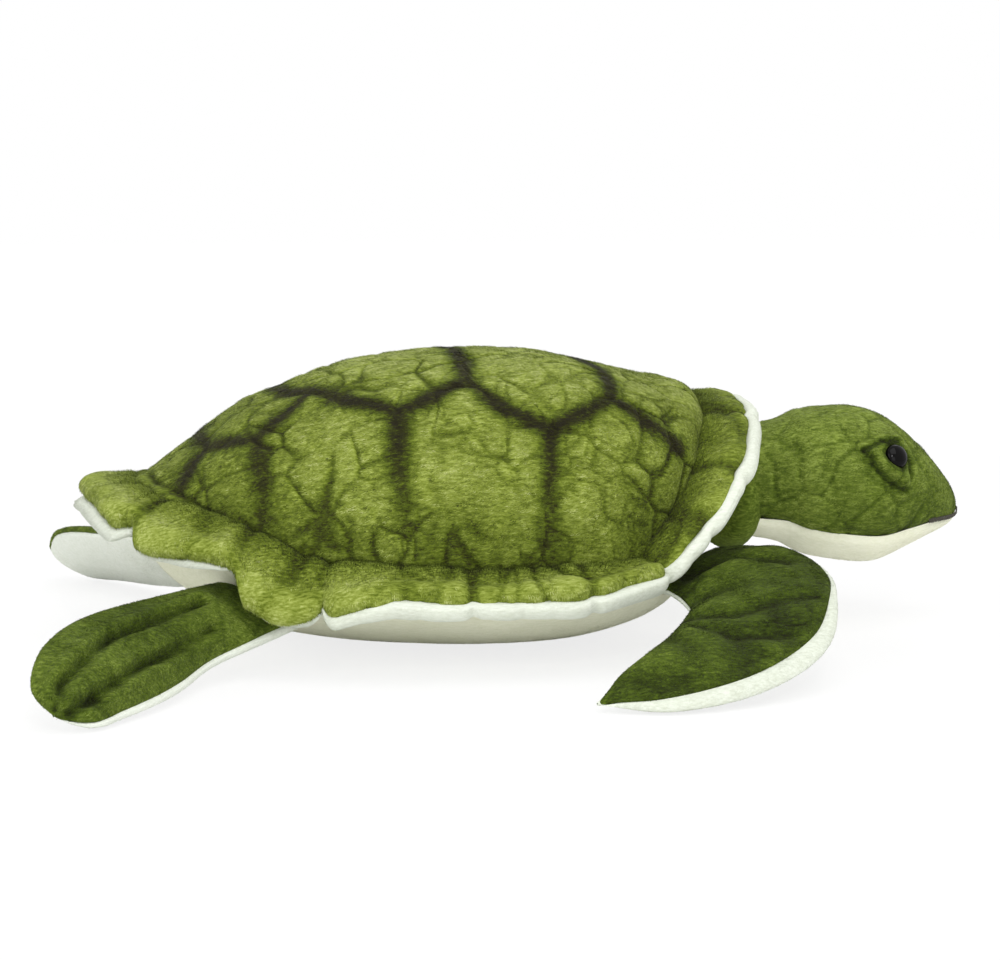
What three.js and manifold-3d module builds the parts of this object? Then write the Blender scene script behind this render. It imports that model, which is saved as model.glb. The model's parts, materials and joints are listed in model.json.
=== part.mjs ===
// Plush sea turtle lying on its belly, nose towards +X and up towards +Z, in millimetres.
// Every cover is a thin cloth shell round loose stuffing, and pieces that touch keep a small clearance.

import * as THREE from "three";
import Module from "manifold-3d";
import { mergeVertices } from "three/addons/utils/BufferGeometryUtils.js";

const wasm = await Module();
wasm.setup();

// Fits
const clearance = 0.3;
const seamGap = 0.3;
const coverThickness = 2.5;
const cutOverrun = 4;

// How far the flat faces that stand for the belly's curved wall lie inside its true curve
const wallSag = 1.3;

// Body, measured from the middle of its widest place
const bodyFrontLength = 122;
const bodyRearLength = 178;
const bodyHalfWidth = 113;
const shellHeight = 152.5;
const seamHeight = 46;
const restFlatDepth = 0.5;
const frontOutlinePower = 2.4;
const rearOutlinePower = 2;
const sideDomePower = 2.3;
const frontDomePower = 4.6;
const rearDomePower = 1.65;
const bellyPower = 2.2;

// Rim round the shell and collar over the neck
const rimWidth = 20;
const rimThickness = 13;
const liningEdgeThickness = 6.5;
const liningBackThickness = 1.4;
const rimEndGap = 1.2;

// Head and neck, measured from the middle of the neck
const neckRadius = 27;
const neckHeight = 78;
const headLength = 117.5;
const headHalfHeight = 42;
const headHalfWidth = 40;
const noseDrop = 16;
const headPower = 2.2;

// Eyes, each a dome on a post that a washer holds inside the head
const eyeRadius = 6.6;
const eyeHeight = 5.2;
const eyeBrim = 0.8;
const eyePostRadius = 2.2;
const eyePostLength = 11;
const washerRadius = 7.5;
const washerThickness = 1.6;

// Mouth embroidery
const threadRadius = 0.9;

// Front flippers, measured from the middle of the seam that each hangs on
const frontRootRadius = 8;
const frontRootHeight = 41;
const frontFlipperSweep = 134;
const frontFlipperReach = 92;
const frontFlipperDrop = 20.5;
const frontFlipperHalfThickness = 10;

// Rear flippers
const rearRootRadius = 8;
const rearRootHeight = 30;
const rearFlipperSweep = 41;
const rearFlipperReach = 154;
const rearFlipperDrop = 30;
const rearFlipperHalfThickness = 8.5;

// Counts of steps, which set how finely each form is drawn
const stepsAround = 48;
const domeRings = 8;
const bellyRings = 6;
const rimSectionSteps = 12;
const liningStepsUnder = 4;
const headStepsOver = 12;
const headStepsUnder = 7;
const rootSteps = 3;
const bladeSteps = 9;
const chordSteps = 7;
const roundSteps = 16;
const neckSteps = 14;
const domeSteps = 5;
const threadSides = 6;
const threadSteps = 12;
const wallSearchSteps = 40;
const wallSearchRounds = 6;

// Directions on the outline of the body, from straight ahead
const wallSearchTurn = Math.PI / 6;
const collarEnd = (7 / 24) * Math.PI;
const sideRimEnd = (17 / 24) * Math.PI;
const frontRootTurn = THREE.MathUtils.degToRad(40);
const frontRootTilt = THREE.MathUtils.degToRad(10);
const rearRootTurn = THREE.MathUtils.degToRad(145);
const rearRootTilt = THREE.MathUtils.degToRad(-25);

// Tables of shares: first the place, from -1 at the rear end of the body to 1 at its front end
const seamHeightShares = [[-1, 1.74], [-0.66, 1.37], [-0.53, 1.13], [0, 1], [0.74, 1.09], [1, 1.46]];
const domeRiseShares = [
  [-1, 0.45], [-0.865, 0.62], [-0.71, 0.84], [-0.556, 1], [-0.4, 1.03], [-0.1, 1],
  [0.3, 0.98], [0.53, 0.91], [0.754, 0.83], [1, 0.79],
];

// Place from straight ahead, 0, to straight behind, 1
const rimWidthShares = [
  [0, 1.15], [0.22, 0.85], [0.3, 0.7], [0.42, 1], [0.7, 1.05], [0.82, 1.4], [0.89, 1.35], [0.95, 0.9], [1, 0.8],
];
const rimTiltShares = [
  [0, 0.17], [0.2, 0.12], [0.3, -0.05], [0.42, -0.2], [0.7, -0.2], [0.82, -0.24], [0.88, -0.32],
  [0.94, 0.08], [1, 0.2],
];
const rimEndSizeShares = [0.62, 0.92];
const rimEndTurnShare = 1 / 3;
const collarRiseShare = 0.635;
const wallSearchShare = 0.6;

// Place from the middle of the neck, 0, to the nose, 1
const headHeightShares = [
  [0, 0.714], [0.145, 0.805], [0.24, 0.93], [0.43, 1], [0.575, 0.976], [0.72, 0.78],
  [0.84, 0.54], [0.94, 0.32], [0.985, 0.16], [1, 0],
];
const headWidthShares = [
  [0, 0.75], [0.09, 0.8], [0.24, 0.925], [0.38, 1], [0.51, 1], [0.61, 0.95], [0.72, 0.825],
  [0.83, 0.65], [0.91, 0.45], [0.96, 0.28], [0.99, 0.12], [1, 0],
];
const headDropShares = [[0, 0], [0.145, 0], [0.43, 0.13], [0.575, 0.22], [0.72, 0.33], [0.84, 0.56], [1, 1]];
const headRowShares = [0, 0.08, 0.16, 0.25, 0.36, 0.47, 0.58, 0.68, 0.77, 0.85, 0.92, 0.965, 0.99, 1];
const throatSeamShare = 0.6;
const eyeAlongShare = 0.617;
const eyeHeightShare = 0.5;
const mouthStartShare = 0.8;
const mouthLiftShare = 0.86;

// Edges of a flipper: shares of its sweep, its reach and its drop, from the seam to the tip
const frontLeadingShares = [
  [-0.33, 0, 0], [-0.32, 0.29, 0.14], [-0.25, 0.54, 0.16], [-0.13, 0.76, 0.05], [0.02, 0.9, -0.14],
  [0.18, 0.99, -0.59], [0.37, 1, -0.86], [0.66, 0.88, -1], [0.91, 0.63, -0.91], [1, 0.37, -0.77],
];
const frontTrailingShares = [
  [0.18, 0, 0], [0.2, 0.09, -0.14], [0.23, 0.16, -0.27], [0.3, 0.22, -0.23], [0.39, 0.26, -0.18],
  [0.485, 0.305, -0.11], [0.58, 0.34, -0.05], [0.76, 0.37, 0], [0.88, 0.315, -0.27], [0.97, 0.29, -0.55],
];
const frontThicknessShares = [[0, 0.8], [0.12, 1], [0.35, 0.95], [0.7, 0.72], [0.93, 0.42], [1, 0.12]];
const rearLeadingShares = [
  [0.63, 0, 0], [0.76, 0.18, -0.06], [0.88, 0.36, -0.14], [1, 0.545, -0.26],
  [0.98, 0.735, -0.35], [0.83, 0.9, -0.5], [0.59, 0.995, -0.75], [0.37, 1, -0.94],
];
const rearTrailingShares = [
  [-0.54, 0, 0], [-0.34, 0.13, -0.36], [-0.2, 0.27, -0.64], [-0.27, 0.47, -0.75],
  [-0.29, 0.635, -0.8], [-0.24, 0.79, -0.875], [-0.17, 0.91, -0.94], [0.05, 0.975, -1],
];
const rearThicknessShares = [[0, 0.94], [0.15, 1], [0.5, 0.94], [0.8, 0.75], [0.94, 0.45], [1, 0.12]];
const bladePower = 2;

// Finishes
const shellPlush = { color: 0x7f8f45, roughness: 0.95, metalness: 0 };
const flipperPlush = { color: 0x5a6a2b, roughness: 0.95, metalness: 0 };
const whitePlush = { color: 0xe6e9de, roughness: 0.95, metalness: 0 };
const creamPlush = { color: 0xc9cbb0, roughness: 0.95, metalness: 0 };
const fibreFill = { color: 0xf2f2ee, roughness: 1, metalness: 0 };
const eyeGloss = { color: 0x0c0b0a, roughness: 0.08, metalness: 0 };
const washerPlastic = { color: 0xdcdcd6, roughness: 0.5, metalness: 0 };
const brownThread = { color: 0x2d2a18, roughness: 0.7, metalness: 0 };

// Value of a table at a place, on a smooth line through its pairs of place and share.
function shareAt(table, place) {
  const last = table.length - 1;
  if (place <= table[0][0]) return table[0][1];
  if (place >= table[last][0]) return table[last][1];
  const after = table.findIndex(([at]) => at > place);
  const before = after - 1;
  const slope = (a, b) => (table[b][1] - table[a][1]) / (table[b][0] - table[a][0]);
  const span = table[after][0] - table[before][0];
  const t = (place - table[before][0]) / span;
  const startSlope = slope(Math.max(before - 1, 0), after) * span;
  const endSlope = slope(before, Math.min(after + 1, last)) * span;
  const start = table[before][1];
  const end = table[after][1];
  return (2 * t ** 3 - 3 * t ** 2 + 1) * start + (t ** 3 - 2 * t ** 2 + t) * startSlope
    + (3 * t ** 2 - 2 * t ** 3) * end + (t ** 3 - t ** 2) * endSlope;
}

// A number raised to a power with its sign kept.
function signedPower(value, power) {
  return Math.sign(value) * Math.abs(value) ** power;
}

// Height of a superellipse of unit size at a share of its reach.
function roundness(share, power) {
  return Math.max(0, 1 - Math.min(1, Math.abs(share)) ** power) ** (1 / power);
}

// Closed geometry from a list of triangles: equal corners merged, empty triangles dropped, faces outwards.
function closedGeometry(triangles) {
  const soup = new THREE.BufferGeometry().setFromPoints(triangles.flat());
  const merged = mergeVertices(soup);
  const corners = [...merged.index.array];
  const kept = [];
  for (let i = 0; i < corners.length; i += 3) {
    const [a, b, c] = corners.slice(i, i + 3);
    if (a !== b && b !== c && c !== a) kept.push([a, b, c]);
  }
  const at = (i) => new THREE.Vector3().fromBufferAttribute(merged.getAttribute("position"), i);
  const volume = kept.reduce((sum, [a, b, c]) => sum + at(a).dot(at(b).cross(at(c))), 0);
  merged.setIndex(kept.flatMap(([a, b, c]) => (volume > 0 ? [a, b, c] : [a, c, b])));
  return merged;
}

// Grid of points: one row for each place in rows and one point in it for each place in columns.
function gridOf(rows, columns, pointAt) {
  return rows.map((row) => columns.map((column) => pointAt(row, column)));
}

// The two triangles of each cell between two lines of points.
function strip(lineA, lineB) {
  const triangles = [];
  for (let i = 0; i < lineA.length - 1; i++) {
    triangles.push([lineA[i], lineB[i], lineB[i + 1]], [lineA[i], lineB[i + 1], lineA[i + 1]]);
  }
  return triangles;
}

function surface(grid) {
  return grid.slice(1).flatMap((row, i) => strip(grid[i], row));
}

function reversed(triangles) {
  return triangles.map(([a, b, c]) => [a, c, b]);
}

// Closed shell between an outer and an inner grid, joined all round their edges.
function shellBetween(outer, inner) {
  const first = (grid) => grid.map((row) => row[0]);
  const last = (grid) => grid.map((row) => row[row.length - 1]);
  const end = outer.length - 1;
  return closedGeometry([
    ...surface(outer), ...reversed(surface(inner)),
    ...strip(inner[0], outer[0]), ...strip(outer[end], inner[end]),
    ...strip(first(outer), first(inner)), ...strip(last(inner), last(outer)),
  ]);
}

// Closed solid from an upper and a lower grid that share their edges.
function pillowBetween(upper, lower) {
  return closedGeometry([...surface(upper), ...reversed(surface(lower))]);
}

// Closed solid through a row of sections that all have the outline's corners.
function sweepOf(sections, outline) {
  const loops = sections.map((section) => [...section, section[0]]);
  const turnOf = (corners) => Math.sign(THREE.ShapeUtils.area(corners));
  const cap = THREE.ShapeUtils.triangulateShape(outline, []).map(([a, b, c]) => (
    turnOf([outline[a], outline[b], outline[c]]) === turnOf(outline) ? [a, b, c] : [a, c, b]
  ));
  const capOf = (section) => cap.map((corners) => corners.map((i) => section[i]));
  return closedGeometry([
    ...surface(loops), ...capOf(sections[0]), ...reversed(capOf(sections[sections.length - 1])),
  ]);
}

function evenSteps(from, to, count) {
  return Array.from({ length: count + 1 }, (_, i) => from + ((to - from) * i) / count);
}

function toSolid(geometry) {
  const plain = geometry.clone();
  plain.deleteAttribute("normal");
  plain.deleteAttribute("uv");
  const merged = mergeVertices(plain);
  return new wasm.Manifold(new wasm.Mesh({
    numProp: 3,
    vertProperties: new Float32Array(merged.getAttribute("position").array),
    triVerts: new Uint32Array(merged.index.array),
  }));
}

function toGeometry(solid) {
  const { vertProperties, triVerts, numProp } = solid.getMesh();
  const geometry = new THREE.BufferGeometry();
  geometry.setAttribute("position", new THREE.BufferAttribute(new Float32Array(vertProperties), numProp));
  geometry.setIndex(new THREE.BufferAttribute(new Uint32Array(triVerts), 1));
  return geometry;
}

function addMesh(group, name, geometry, finish) {
  const mesh = new THREE.Mesh(geometry, new THREE.MeshStandardMaterial(finish));
  mesh.name = name;
  group.add(mesh);
  return mesh;
}

// Body

// Distance from the middle of the body to its seam, in a direction on the floor plan.
function seamReach(turn) {
  const isAhead = Math.cos(turn) > 0;
  const length = isAhead ? bodyFrontLength : bodyRearLength;
  const power = isAhead ? frontOutlinePower : rearOutlinePower;
  const sum = Math.abs(Math.cos(turn) / length) ** power + Math.abs(Math.sin(turn) / bodyHalfWidth) ** power;
  return sum ** (-1 / power);
}

// Direction straight out of the seam, level with the floor.
function outwardAt(turn) {
  const isAhead = Math.cos(turn) > 0;
  const length = isAhead ? bodyFrontLength : bodyRearLength;
  const power = isAhead ? frontOutlinePower : rearOutlinePower;
  const x = (seamReach(turn) * Math.cos(turn)) / length;
  const y = (seamReach(turn) * Math.sin(turn)) / bodyHalfWidth;
  const out = new THREE.Vector3(
    signedPower(x, power - 1) / length, signedPower(y, power - 1) / bodyHalfWidth, 0,
  );
  return out.normalize();
}

function placeAlongBody(x) {
  return x > 0 ? x / bodyFrontLength : x / bodyRearLength;
}

function seamHeightAt(x) {
  return seamHeight * shareAt(seamHeightShares, placeAlongBody(x));
}

function domeRiseAt(x) {
  return (shellHeight - seamHeight) * shareAt(domeRiseShares, placeAlongBody(x));
}

function domePowerAt(turn) {
  const endPower = Math.cos(turn) > 0 ? frontDomePower : rearDomePower;
  return sideDomePower + (endPower - sideDomePower) * Math.cos(turn) ** 2;
}

// Point of the dome, at a share of the way from its top to its seam.
function domePoint(turn, share, inset) {
  const reach = (seamReach(turn) - inset) * share;
  const x = reach * Math.cos(turn);
  const rise = (domeRiseAt(x) - inset) * roundness(share, domePowerAt(turn));
  return new THREE.Vector3(x, reach * Math.sin(turn), seamHeightAt(x) + rise);
}

// Share of the way to the seam over which the belly is cut flat.
function restFlatShare() {
  const cutHeight = seamHeight / (seamHeight + restFlatDepth);
  return (1 - cutHeight ** bellyPower) ** (1 / bellyPower);
}

// Point of the belly, which is flat where it rests on the floor.
function bellyPoint(turn, share, inset) {
  const reach = (seamReach(turn) - inset) * share;
  const x = reach * Math.cos(turn);
  const drop = (seamHeightAt(x) + restFlatDepth - inset) * roundness(share, bellyPower);
  const height = share > restFlatShare() ? Math.max(inset, seamHeightAt(x) - drop) : inset;
  return new THREE.Vector3(x, reach * Math.sin(turn), height);
}

function makeBody(toy) {
  const turns = evenSteps(0, 2 * Math.PI, stepsAround).map((turn) => turn % (2 * Math.PI));
  const ringShares = (rings) => evenSteps(0, Math.PI / 2, rings).map((angle) => Math.sin(angle));
  const raised = (point, by) => new THREE.Vector3(point.x, point.y, point.z + by);
  const dome = (inset, lift) => gridOf(
    ringShares(domeRings), turns, (share, turn) => raised(domePoint(turn, share, inset), lift),
  );
  const bellyShares = [0, restFlatShare(), ...ringShares(bellyRings).slice(1)];
  const belly = (inset, lift) => gridOf(
    bellyShares, turns, (share, turn) => raised(bellyPoint(turn, share, inset), lift),
  );
  const round = (outer, inner) => closedGeometry([
    ...surface(outer), ...reversed(surface(inner)),
    ...strip(outer[outer.length - 1], inner[inner.length - 1]),
  ]);
  const fillInset = coverThickness + clearance;
  addMesh(toy, "shell_cover", round(dome(0, seamGap), dome(coverThickness, seamGap)), shellPlush);
  addMesh(toy, "belly_cover", round(belly(0, 0), belly(coverThickness, 0)), creamPlush);
  addMesh(toy, "body_stuffing", pillowBetween(dome(fillInset, 0), belly(fillInset, 0)), fibreFill);
}

// Rim and collar

// Where the rim meets the shell: on the seam, and up over the neck in the collar.
function rimBase(turn) {
  const fromAhead = Math.abs(turn);
  const rise = fromAhead < collarEnd ? collarRiseShare * (1 - (fromAhead / collarEnd) ** 2) : 0;
  const base = domePoint(turn, roundness(rise, domePowerAt(turn)), 0);
  return raisedTo(base, seamHeightAt(base.x) + domeRiseAt(base.x) * rise);
}

function raisedTo(point, height) {
  return new THREE.Vector3(point.x, point.y, height);
}

// Length of the rim's cover outwards, without its white edge.
function rimWidthAt(turn) {
  return rimWidth * shareAt(rimWidthShares, Math.abs(turn) / Math.PI);
}

// Points of the rim's section at the given angles round it, swollen by a thickness for each.
function rimSection(turn, sizeShare, angles, swellAt) {
  const tilt = (Math.PI / 2) * shareAt(rimTiltShares, Math.abs(turn) / Math.PI);
  const out = outwardAt(turn);
  const up = new THREE.Vector3(0, 0, 1);
  const along = out.clone().multiplyScalar(Math.cos(tilt)).addScaledVector(up, Math.sin(tilt));
  const across = up.clone().multiplyScalar(Math.cos(tilt)).addScaledVector(out, -Math.sin(tilt));
  const halfWidth = rimWidthAt(turn) / 2;
  const halfThickness = rimThickness / 2;
  const halfReach = Math.hypot(halfWidth * Math.cos(tilt), halfThickness * Math.sin(tilt));
  const middle = rimBase(turn).addScaledVector(out, halfReach + clearance);
  middle.addScaledVector(up, halfWidth * Math.sin(tilt));
  return angles.map((angle) => {
    const swell = swellAt(angle) * sizeShare;
    const point = middle.clone();
    point.addScaledVector(along, (halfWidth * sizeShare + swell) * Math.cos(angle));
    return point.addScaledVector(across, (halfThickness * sizeShare + swell) * Math.sin(angle));
  });
}

// Thickness of the lining round the section: full at the rim's edge, thin at its two borders.
function liningThickness(angle) {
  const share = Math.max(0, Math.cos(angle)) ** 2;
  return liningBackThickness + (liningEdgeThickness - liningBackThickness) * share;
}

// One stretch of rim between two directions, as its cover and its lining.
function makeRimStretch(toy, coverName, liningName, fromTurn, toTurn) {
  const endTurn = rimEndGap / bodyHalfWidth;
  const stepTurn = (2 * Math.PI) / stepsAround;
  const inner = evenSteps(fromTurn, toTurn, Math.round((toTurn - fromTurn) / stepTurn)).slice(1, -1);
  const roundTurn = stepTurn * rimEndTurnShare;
  const turns = [
    fromTurn + endTurn, fromTurn + roundTurn, ...inner, toTurn - roundTurn, toTurn - endTurn,
  ];
  const lastTurn = turns.length - 1;
  const sizes = turns.map((_, i) => rimEndSizeShares[Math.min(i, lastTurn - i)] ?? 1);
  const stepAngle = (2 * Math.PI) / rimSectionSteps;
  const round = evenSteps(0, 2 * Math.PI - stepAngle, rimSectionSteps - 1);
  const under = evenSteps(stepAngle, -liningStepsUnder * stepAngle, liningStepsUnder + 1);
  const outline = (angles, swells) => angles.map((angle, i) => new THREE.Vector2(
    (rimWidth / 2 + swells[i]) * Math.cos(angle), (rimThickness / 2 + swells[i]) * Math.sin(angle),
  ));
  const coverSections = turns.map((turn, i) => rimSection(turn, sizes[i], round, () => 0));
  const coverOutline = outline(round, round.map(() => 0));
  addMesh(toy, coverName, sweepOf(coverSections, coverOutline), shellPlush);
  const back = [...under].reverse();
  const liningSections = turns.map((turn, i) => [
    ...rimSection(turn, sizes[i], under, (angle) => clearance + liningThickness(angle)),
    ...rimSection(turn, sizes[i], back, () => clearance / rimEndSizeShares[0]),
  ]);
  const liningOutline = outline(
    [...under, ...back],
    [
      ...under.map((angle) => clearance + liningThickness(angle)),
      ...back.map(() => clearance / rimEndSizeShares[0]),
    ],
  );
  addMesh(toy, liningName, sweepOf(liningSections, liningOutline), whitePlush);
}

function makeRim(toy) {
  makeRimStretch(toy, "collar_cover", "collar_lining", -collarEnd, collarEnd);
  for (const [side, sign] of [["left", 1], ["right", -1]]) {
    const span = (near, far) => (sign > 0 ? [near, far] : [-far, -near]);
    makeRimStretch(toy, `side_rim_cover_${side}`, `side_rim_lining_${side}`, ...span(collarEnd, sideRimEnd));
    makeRimStretch(toy, `rear_rim_cover_${side}`, `rear_rim_lining_${side}`, ...span(sideRimEnd, Math.PI));
  }
}

// Head and neck

// Point of the head at a share of its length and an angle from its top, inset from its outside.
function headPoint(share, angle, inset) {
  const x = headLength * share - inset * share;
  const halfHeight = Math.max(0, headHalfHeight * shareAt(headHeightShares, share) - inset);
  const halfWidth = Math.max(0, headHalfWidth * shareAt(headWidthShares, share) - inset);
  const middle = -noseDrop * shareAt(headDropShares, share);
  return new THREE.Vector3(
    x,
    halfWidth * signedPower(Math.sin(angle), 2 / headPower),
    middle + halfHeight * signedPower(Math.cos(angle), 2 / headPower),
  );
}

function headNormal(share, angle, stepShare) {
  const here = headPoint(share, angle, 0);
  const ahead = headPoint(share + stepShare, angle, 0).sub(here);
  const around = headPoint(share, angle + stepShare, 0).sub(here);
  const normal = ahead.cross(around).normalize();
  const outward = new THREE.Vector3(0, here.y, here.z);
  return normal.dot(outward) < 0 ? normal.negate() : normal;
}

function makeHead(toy) {
  const head = new THREE.Group();
  head.position.set(bodyFrontLength + clearance + neckRadius, 0, neckHeight);
  toy.add(head);
  const neck = new THREE.SphereGeometry(neckRadius, 2 * neckSteps, neckSteps);
  addMesh(head, "neck_stuffing", neck, fibreFill);

  const seamAngle = Math.PI - Math.acos(throatSeamShare ** (headPower / 2));
  const over = evenSteps(-seamAngle, seamAngle, headStepsOver);
  const under = evenSteps(seamAngle, 2 * Math.PI - seamAngle, headStepsUnder);
  const lowered = (point) => raisedTo(point, point.z - seamGap);
  const overGrid = (inset) => gridOf(headRowShares, over, (share, angle) => headPoint(share, angle, inset));
  const underGrid = (inset) => gridOf(
    headRowShares, under, (share, angle) => lowered(headPoint(share, angle, inset)),
  );
  let cover = toSolid(shellBetween(overGrid(0), overGrid(coverThickness)));
  const throat = shellBetween(underGrid(0), underGrid(coverThickness));

  const fillInset = coverThickness + clearance;
  const fillRows = headRowShares.slice(1);
  const loop = [...over.slice(0, -1), ...under.slice(0, -1)];
  const fillSections = fillRows.map((share) => loop.map((angle) => headPoint(share, angle, fillInset)));
  const fillOutline = fillSections[0].map((point) => new THREE.Vector2(point.y, point.z));
  // The flat faces of the room lie inside its radius, so it is opened up until they clear the ball.
  const facetShare = Math.cos(Math.PI / (2 * neckSteps)) ** 2;
  const neckRoom = new THREE.SphereGeometry((neckRadius + clearance) / facetShare, 2 * neckSteps, neckSteps);
  let fill = toSolid(sweepOf(fillSections, fillOutline)).subtract(toSolid(neckRoom));

  for (const [side, sign] of [["left", 1], ["right", -1]]) {
    const angle = sign * Math.acos(eyeHeightShare ** (headPower / 2));
    const seat = headPoint(eyeAlongShare, angle, 0);
    const normal = headNormal(eyeAlongShare, angle, seamGap / headLength);
    const facing = new THREE.Quaternion().setFromUnitVectors(new THREE.Vector3(0, 1, 0), normal);
    const placed = (geometry, offset) => {
      geometry.applyQuaternion(facing);
      const { x, y, z } = seat.clone().addScaledVector(normal, offset);
      return geometry.translate(x, y, z);
    };
    // The cover curves away under the flat washer, and its facets cut in about as much again.
    const washerSag = washerRadius ** 2 / headHalfWidth;
    const washerDepth = coverThickness + 2 * washerSag + clearance;
    addMesh(head, `eye_${side}`, placed(eyeGeometry(), clearance), eyeGloss);
    const washer = placed(washerGeometry(), -washerDepth - washerThickness);
    addMesh(head, `eye_washer_${side}`, washer, washerPlastic);
    const holeLength = 2 * (eyePostLength + cutOverrun);
    const hole = new THREE.CylinderGeometry(
      eyePostRadius + clearance, eyePostRadius + clearance, holeLength, roundSteps,
    );
    cover = cover.subtract(toSolid(placed(hole, 0)));
    const pocket = new THREE.CylinderGeometry(
      washerRadius + clearance, washerRadius + clearance, 2 * (eyePostLength + clearance), roundSteps,
    );
    fill = fill.subtract(toSolid(placed(pocket, 0)));
  }
  addMesh(head, "head_cover", toGeometry(cover), flipperPlush);
  addMesh(head, "throat_cover", throat, creamPlush);
  addMesh(head, "head_stuffing", toGeometry(fill), fibreFill);
  addMesh(head, "mouth_embroidery", mouthGeometry(seamAngle), brownThread);
}

// Eye dome with its brim and its post, along Y.
function eyeGeometry() {
  const dome = evenSteps(0, Math.PI / 2, domeSteps).map((angle) => new THREE.Vector2(
    eyeRadius * Math.cos(angle), eyeBrim + (eyeHeight - eyeBrim) * Math.sin(angle),
  ));
  dome[dome.length - 1].x = 0;
  const profile = [
    new THREE.Vector2(0, -eyePostLength), new THREE.Vector2(eyePostRadius, -eyePostLength),
    new THREE.Vector2(eyePostRadius, 0), new THREE.Vector2(eyeRadius, 0), ...dome,
  ];
  return new THREE.LatheGeometry(profile, roundSteps);
}

function washerGeometry() {
  const bore = eyePostRadius + clearance;
  const profile = [
    [bore, 0], [washerRadius, 0], [washerRadius, washerThickness], [bore, washerThickness], [bore, 0],
  ];
  return new THREE.LatheGeometry(profile.map(([x, y]) => new THREE.Vector2(x, y)), roundSteps);
}

// Thread laid round the snout just above the throat seam.
function mouthGeometry(seamAngle) {
  const lift = -(threadRadius + clearance);
  const angle = seamAngle * mouthLiftShare;
  const shares = evenSteps(mouthStartShare, 1, threadSteps / 2);
  const rightPath = shares.map((share) => headPoint(share, -angle, lift));
  const leftPath = shares.slice(0, -1).reverse().map((share) => headPoint(share, angle, lift));
  const path = new THREE.CatmullRomCurve3([...rightPath, ...leftPath]);
  const section = new THREE.Shape(evenSteps(0, 2 * Math.PI, threadSides).slice(0, -1).map(
    (turn) => new THREE.Vector2(threadRadius * Math.cos(turn), threadRadius * Math.sin(turn)),
  ));
  return new THREE.ExtrudeGeometry(section, { steps: 2 * threadSteps, extrudePath: path });
}

// Flippers

// Upper, lower or middle surface of a flipper, with its root rounded about the seam that it hangs on.
function bladeGrid(blade, inset, face, lift) {
  const { leading, trailing, thicknessShares, halfThickness, rootRadius, side } = blade;
  const rootHalf = Math.max(0, rootRadius - inset);
  const rootRows = evenSteps(0, Math.PI / 2, rootSteps).slice(0, -1).map((angle) => ({
    share: 0, back: rootHalf * Math.cos(angle), half: rootHalf * Math.sin(angle),
  }));
  const bladeRows = evenSteps(0, 1, bladeSteps).map((share) => {
    const half = halfThickness * shareAt(thicknessShares, share) - inset;
    return { share, back: 0, half: share === 1 ? 0 : Math.max(0, half) };
  });
  const columns = evenSteps(-Math.PI / 2, Math.PI / 2, chordSteps).map((angle) => Math.sin(angle));
  const tipInset = (share) => (share === 1 ? inset : 0);
  return [...rootRows, ...bladeRows].map(({ share, back, half }) => {
    const lead = leading.getPoint(share);
    const trail = trailing.getPoint(share);
    const middle = lead.clone().add(trail).multiplyScalar(0.5);
    const chord = lead.clone().sub(trail);
    const step = 1 / bladeSteps;
    const before = Math.max(0, share - step);
    const after = Math.min(1, share + step);
    const spineAt = (at) => leading.getPoint(at).add(trailing.getPoint(at));
    const spine = spineAt(after).sub(spineAt(before)).normalize();
    const isRoot = share === 0;
    const across = chord.clone().normalize();
    const up = new THREE.Vector3(0, 0, 1);
    const normal = isRoot ? up : spine.clone().cross(across).normalize();
    if (normal.z < 0) normal.negate();
    const halfChord = Math.max(0, chord.length() / 2 - inset);
    return columns.map((column) => {
      const thick = half * roundness(column, bladePower) * face + lift;
      const point = middle.clone().addScaledVector(across, halfChord * column);
      point.addScaledVector(normal, thick);
      point.addScaledVector(spine, -tipInset(share));
      point.y -= back;
      return new THREE.Vector3(point.x * side, point.y, point.z);
    });
  });
}

function edgeCurve(shares, sweep, reach, drop) {
  return new THREE.CatmullRomCurve3(
    shares.map(([along, out, up]) => new THREE.Vector3(-along * sweep, out * reach, up * drop)),
  );
}

function bellyWallPoint(turn, share) {
  return bellyPoint(turn, share, 0);
}

// Least distance from the belly's wall, as a true curve, to a straight line beside it.
function distanceToWall(line, turn) {
  const turns = evenSteps(turn - wallSearchTurn, turn + wallSearchTurn, wallSearchSteps);
  const shares = evenSteps(wallSearchShare, 1, wallSearchSteps);
  const closest = new THREE.Vector3();
  const distances = gridOf(turns, shares, bellyWallPoint).flat().map(
    (point) => line.closestPointToPoint(point, true, closest).distanceTo(point),
  );
  return Math.min(...distances);
}

// Group for a flipper, at the middle of its seam: its X runs along the seam and its Y away from the body.
function rootGroup(turn, height, rootRadius, rootHalfLength, tilt, side) {
  const out = outwardAt(side * turn);
  const group = new THREE.Group();
  group.position.copy(domePoint(side * turn, 1, 0)).addScaledVector(out, 2 * rootRadius).setZ(height);
  const up = new THREE.Vector3(0, 0, 1);
  const along = new THREE.Vector3().crossVectors(out, up);
  group.quaternion.setFromRotationMatrix(new THREE.Matrix4().makeBasis(along, out, up));
  group.rotateY(-side * tilt);
  const seamLine = (end) => new THREE.Vector3(end, 0, 0).applyQuaternion(group.quaternion);
  for (let i = 0; i < wallSearchRounds; i++) {
    const line = new THREE.Line3(
      seamLine(-rootHalfLength).add(group.position), seamLine(rootHalfLength).add(group.position),
    );
    const room = distanceToWall(line, side * turn) + wallSag - rootRadius - clearance;
    group.position.addScaledVector(out, -room);
  }
  return group;
}

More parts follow.
